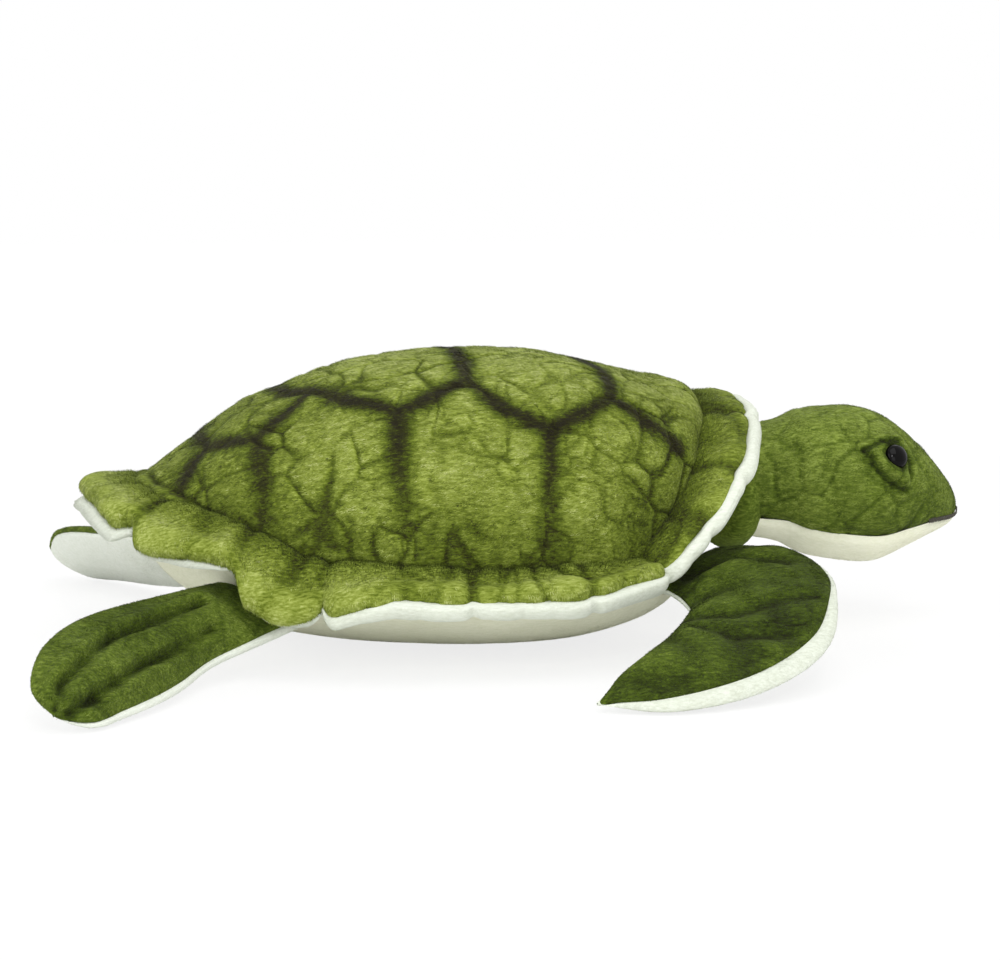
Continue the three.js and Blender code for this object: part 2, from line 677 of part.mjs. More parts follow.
function makeFlipper(toy, name, turn, height, tilt, blade) {
  const rootHalfLength = blade.leading.getPoint(0).distanceTo(blade.trailing.getPoint(0)) / 2;
  const group = rootGroup(turn, height, blade.rootRadius, rootHalfLength, tilt, blade.side);
  toy.add(group);
  const cover = (face) => shellBetween(
    bladeGrid(blade, 0, face, (face * seamGap) / 2),
    bladeGrid(blade, coverThickness, face, (face * seamGap) / 2),
  );
  const fillInset = coverThickness + clearance;
  const fill = pillowBetween(bladeGrid(blade, fillInset, 1, 0), bladeGrid(blade, fillInset, -1, 0));
  addMesh(group, `${name}_upper_cover`, cover(1), flipperPlush);
  addMesh(group, `${name}_lower_cover`, cover(-1), whitePlush);
  addMesh(group, `${name}_stuffing`, fill, fibreFill);
}

function makeFlippers(toy) {
  for (const [sideName, side] of [["left", 1], ["right", -1]]) {
    makeFlipper(toy, `front_flipper_${sideName}`, frontRootTurn, frontRootHeight, frontRootTilt, {
      leading: edgeCurve(frontLeadingShares, frontFlipperSweep, frontFlipperReach, frontFlipperDrop),
      trailing: edgeCurve(frontTrailingShares, frontFlipperSweep, frontFlipperReach, frontFlipperDrop),
      thicknessShares: frontThicknessShares,
      halfThickness: frontFlipperHalfThickness,
      rootRadius: frontRootRadius,
      side,
    });
    makeFlipper(toy, `rear_flipper_${sideName}`, rearRootTurn, rearRootHeight, rearRootTilt, {
      leading: edgeCurve(rearLeadingShares, rearFlipperSweep, rearFlipperReach, rearFlipperDrop),
      trailing: edgeCurve(rearTrailingShares, rearFlipperSweep, rearFlipperReach, rearFlipperDrop),
      thicknessShares: rearThicknessShares,
      halfThickness: rearFlipperHalfThickness,
      rootRadius: rearRootRadius,
      side,
    });
  }
}

const toy = new THREE.Group();
makeBody(toy);
makeRim(toy);
makeHead(toy);
makeFlippers(toy);

// The origin lies on the floor, under the middle of the whole turtle.
const box = new THREE.Box3().setFromObject(toy, true);
const middle = box.getCenter(new THREE.Vector3());
toy.position.set(-middle.x, -middle.y, -box.min.z);
toy.updateMatrixWorld(true);

export default toy;
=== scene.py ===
"""Looks of a plush sea turtle: its covers, pile, eyes and mouth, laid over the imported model, and a studio."""

import json
import math

import bmesh
import bpy
import numpy as np
from bpy.props import FloatProperty, IntProperty, PointerProperty
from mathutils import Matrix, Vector


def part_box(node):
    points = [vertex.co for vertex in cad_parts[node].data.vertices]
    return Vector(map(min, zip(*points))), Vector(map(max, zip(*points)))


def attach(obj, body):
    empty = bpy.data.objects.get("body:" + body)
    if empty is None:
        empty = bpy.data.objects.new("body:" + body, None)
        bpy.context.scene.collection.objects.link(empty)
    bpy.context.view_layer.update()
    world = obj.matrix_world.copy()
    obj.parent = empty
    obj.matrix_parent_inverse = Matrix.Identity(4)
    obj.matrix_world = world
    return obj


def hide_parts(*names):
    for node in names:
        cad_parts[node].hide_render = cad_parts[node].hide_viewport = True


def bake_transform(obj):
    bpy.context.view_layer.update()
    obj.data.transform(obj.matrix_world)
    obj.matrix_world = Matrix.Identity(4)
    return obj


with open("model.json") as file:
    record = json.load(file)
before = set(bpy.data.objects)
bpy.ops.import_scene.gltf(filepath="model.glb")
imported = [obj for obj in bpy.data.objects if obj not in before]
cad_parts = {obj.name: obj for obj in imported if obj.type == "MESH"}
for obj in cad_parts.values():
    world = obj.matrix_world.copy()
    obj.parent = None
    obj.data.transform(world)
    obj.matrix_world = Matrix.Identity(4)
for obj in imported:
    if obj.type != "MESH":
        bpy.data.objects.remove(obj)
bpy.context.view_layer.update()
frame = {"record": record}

bl_info = {
    "name": "Plush sea turtle",
    "version": (1, 0, 0),
    "blender": (4, 5, 0),
    "location": "3D View > Sidebar > Turtle",
    "description": "Builds the covers, pile, eyes, mouth and studio of a plush sea turtle",
    "category": "Object",
}

MM = 0.001
TURN = 2 * math.pi

# Body, in millimetres from the middle of its widest place
BODY_FRONT_LENGTH = 122.0
BODY_REAR_LENGTH = 178.0
BODY_HALF_WIDTH = 113.0
SHELL_HEIGHT = 152.5
SEAM_HEIGHT = 46.0
REST_FLAT_DEPTH = 0.5
FRONT_OUTLINE_POWER = 2.4
REAR_OUTLINE_POWER = 2.0
SIDE_DOME_POWER = 2.3
FRONT_DOME_POWER = 4.6
REAR_DOME_POWER = 1.65
BELLY_POWER = 2.2
SEAM_HEIGHT_SHARES = ((-1, 1.74), (-0.66, 1.37), (-0.53, 1.13), (0, 1), (0.74, 1.09), (1, 1.46))
DOME_RISE_SHARES = (
    (-1, 0.45), (-0.865, 0.62), (-0.71, 0.84), (-0.556, 1), (-0.4, 1.03), (-0.1, 1),
    (0.3, 0.98), (0.53, 0.91), (0.754, 0.83), (1, 0.79),
)

# Rim round the shell and collar over the neck, in millimetres
RIM_WIDTH = 20.0
RIM_THICKNESS = 13.0
LINING_BACK = 1.4
LINING_DEPTH = 2.0
CLEARANCE = 0.3
RIM_END_GAP = 1.2
COLLAR_END = 7 / 24 * math.pi
SIDE_RIM_END = 17 / 24 * math.pi
COLLAR_RISE_SHARE = 0.635
RIM_WIDTH_SHARES = (
    (0, 1.15), (0.22, 0.85), (0.3, 0.7), (0.42, 1), (0.7, 1.05), (0.82, 1.4), (0.89, 1.35), (0.95, 0.9),
    (1, 0.8),
)
RIM_TILT_SHARES = (
    (0, 0.17), (0.2, 0.12), (0.3, -0.05), (0.42, -0.2), (0.7, -0.2), (0.82, -0.24), (0.88, -0.32),
    (0.94, 0.08), (1, 0.2),
)

# Where the sewn rim folds and hangs: degrees from ahead, further width and move outwards in millimetres,
# further tilt in degrees
RIM_FOLDS = (
    (0, 0, 3, -14), (20, 0, 5, -8), (35, 3, 5, 0), (45, 5, 2, 0), (51, 3, 0, 0), (56, 0, 0, 0),
    (115, 0, 0, 0), (122, 3, 0, -12), (128, 7, 0, -26), (133, 7, 0, -30), (140, 8, 0, -34), (143, 6, 0, -34),
    (144.5, -3, 0, -12), (146, -5, 0, 0), (156, -2, 0, 0), (161, 2, 0, -6), (163, -5, 0, 4), (166, 4, 0, -12),
    (180, 6, 0, -14),
)

# Deep tucks across the rim, in degrees from ahead, and the width of each in degrees
RIM_TUCKS = (16, 34, 44, 71, 98, 144.6, 162.6)
RIM_TUCK_WIDTH = 1.3

# Each kind of rim: how far the green overhangs its edge and rolls up, in millimetres; where the white starts
# and stops round the section, in degrees; how thick its edge is, in millimetres; and how dark the green is
# painted, which on the collar and side rim, darker than the shell, is painted shade
RIM_KINDS = {
    "collar": {
        "overhang": 1.0, "rolled": 2.2, "white_from": 24, "white_to": -120, "edge": 5.2, "shade": 0.42,
    },
    "side_rim": {
        "overhang": 3.0, "rolled": 1.0, "white_from": 2, "white_to": -128, "edge": 7.5, "shade": 0.34,
    },
    "rear_rim": {
        "overhang": 1.5, "rolled": 1.8, "white_from": -36, "white_to": -128, "edge": 3.0, "shade": 0.29,
    },
}

# Swell of the rim's root under the shell, what is left of its section at its ends, and where and by how much
# its edge thickens towards the tail, in degrees and millimetres
RIM_ROOT_SWELL = 11.0
RIM_LEAST_FULL = 0.02
TAIL_EDGE_FROM = 162.0
TAIL_EDGE_TURN = 4.0
TAIL_EDGE_SWELL = 5.0

# Head and neck, in millimetres from the middle of the neck
NECK_RADIUS = 27.0
NECK_HEIGHT = 78.0
HEAD_LENGTH = 117.5
HEAD_HALF_HEIGHT = 42.0
HEAD_HALF_WIDTH = 40.0
NOSE_DROP = 16.0
HEAD_POWER = 2.2
HEAD_HEIGHT_SHARES = (
    (0, 0.714), (0.145, 0.805), (0.24, 0.93), (0.43, 1), (0.575, 0.976), (0.72, 0.78),
    (0.84, 0.54), (0.94, 0.32), (0.985, 0.16), (1, 0),
)
HEAD_WIDTH_SHARES = (
    (0, 0.75), (0.09, 0.8), (0.24, 0.925), (0.38, 1), (0.51, 1), (0.61, 0.95), (0.72, 0.825),
    (0.83, 0.65), (0.91, 0.45), (0.96, 0.28), (0.99, 0.12), (1, 0),
)
HEAD_DROP_SHARES = ((0, 0), (0.145, 0), (0.43, 0.13), (0.575, 0.22), (0.72, 0.33), (0.84, 0.56), (1, 1))
THROAT_SEAM_SHARE = 0.6
EYE_ALONG_SHARE = 0.617
EYE_HEIGHT_SHARE = 0.5
EYE_RADIUS = 6.6
EYE_HEIGHT = 4.4
EYE_SINK = 1.2
EYE_SHANK_RADIUS = 2.2
EYE_SHANK_LENGTH = 6.0
MOUTH_START_SHARE = 0.8
MOUTH_LIFT_SHARE = 0.86
MOUTH_RAISE_SHARE = 0.08
MOUTH_END_SHARE = 0.995
STITCH_RADIUS = 0.42
STITCH_LENGTH = 2.6
NECK_CENTRE = np.array([BODY_FRONT_LENGTH + CLEARANCE + NECK_RADIUS, 0, NECK_HEIGHT])
THROAT_SEAM_ANGLE = math.pi - math.acos(THROAT_SEAM_SHARE ** (HEAD_POWER / 2))

# Ball of the neck: shares of its radius, and how far its middle is moved; and two places before and behind
# the joint that it would stretch between, though it is only left in place
NECK_SHAPE = np.array([0.68, 1.22, 1.1])
NECK_MOVE = np.array([-9.5, 0, -6.5])
NECK_STRETCH_START = -22.0
NECK_STRETCH_END = 4.0

# Folds and lumps round the eye, in millimetres forwards and upwards from its middle; a lump also has its
# height and width
LID_CREASES = (
    ((-18, 6), (-15, -3), (-9, -11), (0, -17), (5, -18)),
    ((-17, 6), (-10, 8), (-4, 9.5), (4, 9)),
    ((9, 4), (10, -4), (7, -12)),
)
LID_CREASE_DEPTH = 2.0
LID_CREASE_WIDTH = 1.5
EYE_LUMPS = (
    (((-14, 2), (-8, -5), (2, -12)), 4.6, 4.0),
    (((-10, 8), (-2, 10.5), (6, 9)), 2.4, 3.6),
)
EYE_SOCKET_DEPTH = 2.2
EYE_SOCKET_WIDTH = 6.0
EYE_SHADOW_RADIUS = 7.5
EYE_SHADOW_WIDTH = 1.6
EYE_FOLD_REACH = 14.0

# Flippers, in millimetres from the middle of the seam that each hangs on
FRONT_LEADING_SHARES = (
    (-0.33, 0, 0), (-0.32, 0.29, 0.14), (-0.25, 0.54, 0.16), (-0.13, 0.76, 0.05), (0.02, 0.9, -0.14),
    (0.18, 0.99, -0.59), (0.37, 1, -0.86), (0.66, 0.88, -1), (0.91, 0.63, -0.91), (1, 0.37, -0.77),
)
FRONT_TRAILING_SHARES = (
    (0.18, 0, 0), (0.2, 0.09, -0.14), (0.23, 0.16, -0.27), (0.3, 0.22, -0.23), (0.39, 0.26, -0.18),
    (0.485, 0.305, -0.11), (0.58, 0.34, -0.05), (0.76, 0.37, 0), (0.88, 0.315, -0.27), (0.97, 0.29, -0.55),
)
FRONT_THICKNESS_SHARES = ((0, 0.8), (0.12, 1), (0.35, 0.95), (0.7, 0.72), (0.93, 0.42), (1, 0.12))
REAR_LEADING_SHARES = (
    (0.63, 0, 0), (0.76, 0.18, -0.06), (0.88, 0.36, -0.14), (1, 0.545, -0.26),
    (0.98, 0.735, -0.35), (0.83, 0.9, -0.5), (0.59, 0.995, -0.75), (0.37, 1, -0.94),
)
REAR_TRAILING_SHARES = (
    (-0.54, 0, 0), (-0.34, 0.13, -0.36), (-0.2, 0.27, -0.64), (-0.27, 0.47, -0.75),
    (-0.29, 0.635, -0.8), (-0.24, 0.79, -0.875), (-0.17, 0.91, -0.94), (0.05, 0.975, -1),
)
REAR_THICKNESS_SHARES = ((0, 0.94), (0.15, 1), (0.5, 0.94), (0.8, 0.75), (0.94, 0.45), (1, 0.12))

# Folds across the front flippers and sewn channels along the rear ones, each as places from root to tip and
# from the trailing edge at -1 to the leading one at 1
FRONT_CREASES = (
    ((0.04, -0.6), (0.12, 0.1), (0.26, 0.55)),
    ((0.5, -0.9), (0.53, -0.3), (0.47, 0.3), (0.46, 0.7)),
    ((0.6, -0.8), (0.66, -0.1), (0.61, 0.5)),
)
REAR_CHANNELS = (
    ((0.2, -0.34), (0.5, -0.36), (0.8, -0.34), (0.95, -0.3)),
    ((0.14, 0.34), (0.5, 0.34), (0.8, 0.34), (0.97, 0.3)),
)

# Both pairs of flippers: sizes in millimetres, turns and seams in degrees, shades from 0, pale, to 1, dark; the
# front ones' darker green top and greyer white underside are painted shade
FLIPPERS = {
    "front": {
        "leading": FRONT_LEADING_SHARES, "trailing": FRONT_TRAILING_SHARES, "size": (134.0, 92.0, 20.5),
        "thickness": FRONT_THICKNESS_SHARES, "half_thickness": 10.0, "root_radius": 8.0, "turn": 40.0,
        "lead_seam": ((0, 8), (0.35, 17), (0.55, 36), (0.8, 52), (1, 56)), "trail_seam": 8.0,
        "tip_reach": 5.0,
        "creases": FRONT_CREASES, "crease_depth": 1.9, "crease_width": 4.4, "crease_shade": 0.26,
        "wrinkle_depth": 1.6, "cell_seed": 71, "upper_shade": 0.54, "lower_shade": 0.75,
    },
    "rear": {
        "leading": REAR_LEADING_SHARES, "trailing": REAR_TRAILING_SHARES, "size": (41.0, 154.0, 30.0),
        "thickness": REAR_THICKNESS_SHARES, "half_thickness": 8.5, "root_radius": 8.0, "turn": 145.0,
        "lead_seam": ((0, -20), (1, -20)), "trail_seam": 26.0, "tip_reach": 0.0,
        "creases": REAR_CHANNELS, "crease_depth": 4.6, "crease_width": 2.3, "crease_shade": 0.42,
        "wrinkle_depth": 0.4, "cell_seed": 77, "upper_shade": 0.38, "lower_shade": 0.35,
    },
}

# Shares of a flipper's length: the step by which its direction is read, where its tip starts to narrow and to
# thin, and where its pile ends
BLADE_STEP = 1 / 9
TIP_START = 0.92
TIP_ROUND_SHARE = 0.03
LAST_PILE_SHARE = 0.975

# Airbrushed lines of the shell, in millimetres from the middle of the body; each is also mirrored
SHELL_LINES = (
    ((-8, 0, 152), (-9, 20, 151), (-9, 44, 147), (-10, 60, 141)),
    ((-10, 60, 141), (-28, 71, 133), (-46, 76, 127)),
    ((-46, 76, 127), (-66, 61, 130), (-85, 36, 134)),
    ((-10, 60, 141), (6, 80, 128), (27, 91, 118)),
    ((27, 91, 118), (44, 84, 124), (61, 71, 130)),
    ((61, 71, 130), (63, 50, 138), (60, 25, 144), (59, 0, 146)),
    ((61, 71, 130), (77, 76, 118), (94, 74, 104)),
    ((-85, 36, 134), (-97, 23, 133), (-102, 0, 134)),
    ((-85, 36, 134), (-98, 46, 125), (-114, 56, 112)),
    ((-114, 56, 112), (-126, 47, 109), (-138, 33, 107), (-142, 0, 110)),
    ((-138, 33, 107), (-146, 37, 99), (-152, 48, 88)),
)
COSTAL_LINES = (
    ((-46, 76, 127), (-47, 92, 107), (-47, 103, 86), (-46, 108, 66)),
    ((27, 91, 118), (25, 105, 92), (23, 110, 66), (22, 112, 50)),
    ((-114, 56, 112), (-112, 77, 91), (-112, 86, 70)),
)

# Width of the painted lines, and how far they wander, in millimetres
PAINT_WIDTH = 6.2
COSTAL_PAINT_WIDTH = 6.8
PAINT_WOBBLE = 1.6

# Fold where the rear rim is sewn over the shell, and the puff beside it, in millimetres
FOLD_LINE = (
    (-168, 8, 92), (-164, 27, 88), (-153, 50, 85), (-143, 64, 79), (-129, 77, 71), (-114, 87, 63),
    (-102, 97, 56),
)
PUFF_LINE = tuple((x - 4, y + 4, z - 8) for x, y, z in FOLD_LINE)
FOLD_DEPTH = 2.4
FOLD_WIDTH = 1.9
PUFF_HEIGHT = 4.0
PUFF_WIDTH = 7.0

# How far the shell's plush is drawn in under its pile and at its seam, how far its tucks and swells stand out
# and how far it bulges behind the collar, in millimetres
SHELL_SINK = 1.2
SHELL_SEAM_SINK = 2.5
SHELL_TUCK_DEPTH = 4.0
SHELL_SWELL = 0.9
COLLAR_BULGE = 4.5

# The same for the belly and the head
BELLY_SINK = 0.4
BELLY_SEAM_SINK = 2.0
HEAD_SINK = 0.8
HEAD_SEAM_SINK = 1.7
HEAD_SEAM_WIDTH = 3.5

# Cells pressed into the plush: widths in millimetres, the others as shares of a cell
CREASE_WIDTH = 0.85
FINE_CREASE_WIDTH = 0.7
FINE_CELL_SHARE = 0.55
CELL_SWELL_WIDTH = 3.5
CELL_WARP = 0.22
FINE_CELL_WARP = 0.3

# Tones of the pile from pale to dark, as read on the photograph, and how many plain finishes are made of them
GREEN_TONES = ("#b3ba76", "#97a351", "#7e8b37", "#637122", "#4a5712", "#31340d", "#1f1c0c")
DEEP_GREEN_TONES = ("#8a9a48", "#708032", "#576820", "#435313", "#323f0b", "#232b08", "#191809")
WHITE_TONES = ("#eff2ea", "#e6eadf", "#dadfd1", "#c9cebd")
CREAM_TONES = ("#f0f0dd", "#e8e9d2", "#dfe1c6", "#cdd0b2")
BLADE_TONES = 12

# Each cloth's fibre, its tones, and the slot of its covers
SHELL_CLOTH = ("shell_fibre", GREEN_TONES, "shell_plush")
DEEP_CLOTH = ("flipper_fibre", DEEP_GREEN_TONES, "flipper_plush")
WHITE_CLOTH = ("white_fibre", WHITE_TONES, "white_plush")
CREAM_CLOTH = ("cream_fibre", CREAM_TONES, "cream_cloth")

# Pile: rise of a blade above the cloth and its scatter, as shares of its length
PILE_LIFT = 0.3
PILE_SCATTER = 0.2

# Large odd numbers that mix the place of a cell into a repeatable number, of which 24 bits are kept
HASH_FACTORS = (374761393, 668265263, 2147483647)
HASH_SEED_FACTOR = 974634777
HASH_MIX_FACTOR = 1274126177
HASH_MASK = 0xFFFFFF


def smooth_table(table, place):
    """Value of a table of places and shares at each place, on a smooth line through its pairs."""
    places, shares = np.array(table, float).T
    place = np.clip(np.asarray(place, float), places[0], places[-1])
    after = np.clip(np.searchsorted(places, place, side="right"), 1, len(places) - 1)
    before = after - 1
    span = places[after] - places[before]
    t = (place - places[before]) / span

    def slope(a, b):
        return (shares[b] - shares[a]) / (places[b] - places[a])

    start_slope = slope(np.maximum(before - 1, 0), after) * span
    end_slope = slope(before, np.minimum(after + 1, len(places) - 1)) * span
    return (
        (2 * t**3 - 3 * t**2 + 1) * shares[before] + (t**3 - 2 * t**2 + t) * start_slope
        + (3 * t**2 - 2 * t**3) * shares[after] + (t**3 - t**2) * end_slope
    )


def signed_power(value, power):
    """Power of a value's size, with the value's own sign."""
    return np.sign(value) * np.abs(value) ** power


def roundness(share, power):
    """Height of a rounded section at a share of its half width."""
    return np.maximum(0, 1 - np.minimum(1, np.abs(share)) ** power) ** (1 / power)


def unit(vectors):
    """Vectors brought to a length of 1."""
    length = np.linalg.norm(vectors, axis=-1, keepdims=True)
    return vectors / np.maximum(length, 1e-9)


def stacked(x, y, z):
    """Points from their coordinates, spread to one shape."""
    return np.stack(np.broadcast_arrays(x, y, z), axis=-1).astype(float)


def hashed(cells, seed):
    """A repeatable number from 0 to 1 for each whole-numbered cell."""
    mixed = cells.astype(np.int64) @ np.array(HASH_FACTORS, np.int64) + seed * HASH_SEED_FACTOR
    mixed = (mixed ^ (mixed >> 13)) * HASH_MIX_FACTOR
    return ((mixed ^ (mixed >> 16)) & HASH_MASK) / float(HASH_MASK)


def noise(points, size, seed):
    """Smooth noise from -1 to 1 whose lumps are about the given size."""
    place = points / size
    corner = np.floor(place)
    t = place - corner
    t = t * t * (3 - 2 * t)
    total = np.zeros(points.shape[:-1])
    for step in np.ndindex(2, 2, 2):
        step = np.array(step)
        weight = np.prod(np.where(step, t, 1 - t), axis=-1)
        total += weight * hashed(corner + step, seed)
    return 2 * total - 1


def cell_border(points, size, seed):
    """Distance from the nearest border between irregular cells of about the given size."""
    place = points / size
    corner = np.floor(place)
    nearest = np.full(points.shape[:-1], 9.0)
    second = nearest.copy()
    for step in np.ndindex(3, 3, 3):
        cell = corner + np.array(step) - 1
        seat = cell + np.stack([hashed(cell, seed + axis) for axis in range(3)], axis=-1)
        distance = np.linalg.norm(seat - place, axis=-1)
        second = np.minimum(second, np.maximum(nearest, distance))
        nearest = np.minimum(nearest, distance)
    return (second - nearest) * size / 2


def distance_to_path(points, path):
    """Least distance from each point to a path of straight stretches."""
    path = np.array(path, float)
    least = np.full(points.shape[:-1], 1e9)
    for a, b in zip(path[:-1], path[1:]):
        ab = b - a
        t = np.clip(((points - a) @ ab) / (ab @ ab), 0, 1)
        least = np.minimum(least, np.linalg.norm(points - (a + t[..., None] * ab), axis=-1))
    return least


def bump_at(distance, width):
    """Round bump, 1 at no distance and gone past about twice the width."""
    return np.exp(-((distance / width) ** 2))


def share_between(value, start, end):
    """Share of the way from start to end, held between 0 and 1."""
    return np.clip((value - start) / (end - start), 0, 1)


# Forms of the body, in millimetres from the middle of its widest place


def outline_of(turn):
    """Length and power of the end of the body's outline that each turn points at."""
    ahead = np.cos(turn) > 0
    return (
        np.where(ahead, BODY_FRONT_LENGTH, BODY_REAR_LENGTH),
        np.where(ahead, FRONT_OUTLINE_POWER, REAR_OUTLINE_POWER),
    )


def seam_reach(turn):
    """Distance from the middle of the body to its seam, at each turn from ahead."""
    length, power = outline_of(turn)
    ahead = np.abs(np.cos(turn) / length) ** power
    aside = np.abs(np.sin(turn) / BODY_HALF_WIDTH) ** power
    return (ahead + aside) ** (-1 / power)


def outward_at(turn):
    """Direction square to the seam, at each turn."""
    length, power = outline_of(turn)
    x = seam_reach(turn) * np.cos(turn) / length
    y = seam_reach(turn) * np.sin(turn) / BODY_HALF_WIDTH
    ahead = signed_power(x, power - 1) / length
    aside = signed_power(y, power - 1) / BODY_HALF_WIDTH
    return unit(stacked(ahead, aside, 0))


def place_along(x):
    """Share of the body's length, from -1 at its rear to 1 at its front."""
    return np.where(x > 0, x / BODY_FRONT_LENGTH, x / BODY_REAR_LENGTH)


def seam_height_at(x):
    """Height of the seam."""
    return SEAM_HEIGHT * smooth_table(SEAM_HEIGHT_SHARES, place_along(x))


def dome_rise_at(x):
    """Rise of the dome above the seam."""
    return (SHELL_HEIGHT - SEAM_HEIGHT) * smooth_table(DOME_RISE_SHARES, place_along(x))


def dome_power_at(turn):
    """How full the dome's section is at each turn."""
    end_power = np.where(np.cos(turn) > 0, FRONT_DOME_POWER, REAR_DOME_POWER)
    return SIDE_DOME_POWER + (end_power - SIDE_DOME_POWER) * np.cos(turn) ** 2


def dome_point(turn, share):
    """Point of the shell, at a turn and a share of the way out to the seam."""
    reach = seam_reach(turn) * share
    x = reach * np.cos(turn)
    rise = dome_rise_at(x) * roundness(share, dome_power_at(turn))
    return stacked(x, reach * np.sin(turn), seam_height_at(x) + rise)


def belly_point(turn, share):
    """Point of the belly, at a turn and a share of the way out to the seam."""
    reach = seam_reach(turn) * share
    x = reach * np.cos(turn)
    drop = (seam_height_at(x) + REST_FLAT_DEPTH) * roundness(share, BELLY_POWER)
    return stacked(x, reach * np.sin(turn), np.maximum(0, seam_height_at(x) - drop))


def rim_frame(turn):
    """Middle of the rim's section, and its directions along and across, for each turn."""
    from_ahead = np.abs(turn)
    from_end = 1 - (from_ahead / COLLAR_END) ** 2
    rise = np.where(from_ahead < COLLAR_END, COLLAR_RISE_SHARE * from_end, 0)
    base = dome_point(turn, roundness(rise, dome_power_at(turn)))
    base[..., 2] = seam_height_at(base[..., 0]) + dome_rise_at(base[..., 0]) * rise
    folds = np.array(RIM_FOLDS, float)
    wider, further, lower = (
        np.interp(np.degrees(from_ahead), folds[:, 0], fold)[..., None] for fold in folds.T[1:]
    )
    tilt = math.pi / 2 * smooth_table(RIM_TILT_SHARES, from_ahead / math.pi)[..., None] + np.radians(lower)
    out = outward_at(turn)
    up = np.array([0.0, 0.0, 1.0])
    along = out * np.cos(tilt) + up * np.sin(tilt)
    across = up * np.cos(tilt) - out * np.sin(tilt)
    width = RIM_WIDTH * smooth_table(RIM_WIDTH_SHARES, from_ahead / math.pi)[..., None]
    half_width = (width + wider) / 2
    half_reach = np.hypot(half_width * np.cos(tilt), RIM_THICKNESS / 2 * np.sin(tilt))
    middle = base + out * (half_reach + CLEARANCE + further) + up * half_width * np.sin(tilt)
    return middle, along, across, half_width


def head_point(share, angle):
    """Point of the head, at a share of its length and an angle from its top."""
    half_height = np.maximum(0, HEAD_HALF_HEIGHT * smooth_table(HEAD_HEIGHT_SHARES, share))
    half_width = np.maximum(0, HEAD_HALF_WIDTH * smooth_table(HEAD_WIDTH_SHARES, share))
    middle = -NOSE_DROP * smooth_table(HEAD_DROP_SHARES, share)
    return stacked(
        HEAD_LENGTH * share,
        half_width * signed_power(np.sin(angle), 2 / HEAD_POWER),
        middle + half_height * signed_power(np.cos(angle), 2 / HEAD_POWER),
    )


# Meshes


def grid_normals(points, closed):
    """Normals of a grid; its columns may close into a ring."""
    down = np.gradient(points, axis=0)
    if closed:
        across = np.roll(points, -1, axis=1) - np.roll(points, 1, axis=1)
    else:
        across = np.gradient(points, axis=1)
    normals = np.cross(down, across)
    weak = np.linalg.norm(normals, axis=-1) < 1e-6
    normals = unit(normals)
    for row in range(len(points)):
        if weak[row].any():
            near = min(max(row, 2), len(points) - 3)
            normals[row][weak[row]] = normals[near][weak[row]]
    return normals


def grid_mesh(name, points, closed, values):
    """Mesh of a grid in metres, with the values that the pile and the materials read."""
    rows, columns = points.shape[:2]
    count = columns if closed else columns - 1
    i, j = np.meshgrid(np.arange(rows - 1), np.arange(count), indexing="ij")
    k = (j + 1) % columns
    above, below = i * columns, (i + 1) * columns
    faces = np.stack([above + j, below + j, below + k, above + k], axis=-1)
    mesh = bpy.data.meshes.new(name)
    mesh.from_pydata((points.reshape(-1, 3) * MM).tolist(), [], faces.reshape(-1, 4).tolist())
    for key, value in values.items():
        is_vector = value.shape[-1] == 3 and value.ndim == 3
        attribute = mesh.attributes.new(key, "FLOAT_VECTOR" if is_vector else "FLOAT", "POINT")
        attribute.data.foreach_set("vector" if is_vector else "value", value.astype(np.float32).ravel())
    return mesh


def welded(mesh):
    """Merges the equal corners of a mesh, and turns its faces outwards."""
    work = bmesh.new()
    work.from_mesh(mesh)
    bmesh.ops.remove_doubles(work, verts=work.verts, dist=2e-5)
    bmesh.ops.recalc_face_normals(work, faces=work.faces)
    work.to_mesh(mesh)
    work.free()
    mesh.shade_smooth()
    return mesh


def add_object(name, mesh, materials):
    """Puts a mesh in the scene as a piece, with its materials."""
    obj = bpy.data.objects.new(name, mesh)
    bpy.context.scene.collection.objects.link(obj)
    for material in materials:
        mesh.materials.append(material)
    return obj


def plush_values(points, normals, nap, tint, pile=1.0):
    """Nap, tint and pile length for each point; the nap lies in the surface."""
    nap = np.broadcast_to(nap, points.shape)
    flat = unit(nap - normals * (nap * normals).sum(axis=-1, keepdims=True))
    return {
        "nap": flat,
        "tint": np.broadcast_to(tint, points.shape[:-1]),
        "pile": np.broadcast_to(pile, points.shape[:-1]),
    }


def add_skin(name, points, closed, values, material):
    """Piece made of a grid of points in millimetres."""
    return add_object(name, welded(grid_mesh(name, points, closed, values)), [material])


def pebbled(points, settings, seed, depth=1.0):
    """Cells pressed into the plush: how far each point moves along its normal, and its share of crease for
    painted shade.
    """
    size = settings.cell_size / MM
    warp = np.stack([noise(points, size * 0.7, seed + 31 + axis) for axis in range(3)], axis=-1)
    border = cell_border(points + warp * size * CELL_WARP, size, seed)
    kept = np.clip(0.62 + noise(points, size * 0.9, seed + 17), 0, 1)
    fine_border = cell_border(points + warp * size * FINE_CELL_WARP, size * FINE_CELL_SHARE, seed + 3)
    fine = bump_at(fine_border, FINE_CREASE_WIDTH)
    fine *= np.clip(0.1 + 1.1 * noise(points, size * 0.6, seed + 18), 0, 0.5)
    crease = np.maximum(bump_at(border, CREASE_WIDTH) * kept, fine)
    swell = 1 - np.exp(-border / CELL_SWELL_WIDTH)
    move = settings.cell_depth / MM * depth * (0.4 * (swell - 0.6) - 0.8 * crease)
    return move, crease


# Covers, in millimetres; each noise is given its size and a seed, and shades run from 0, pale, to 1, dark


def body_offset():
    """Place of the body's middle in the frame, in millimetres."""
    low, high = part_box("shell_cover")
    return np.array([low[0] / MM + BODY_REAR_LENGTH, (low[1] + high[1]) / 2 / MM, 0.0])


def folded_over(points):
    """Points of the left half, and those of the right half brought over to it."""
    folded = points.copy()
    folded[..., 1] = np.abs(points[..., 1])
    return folded


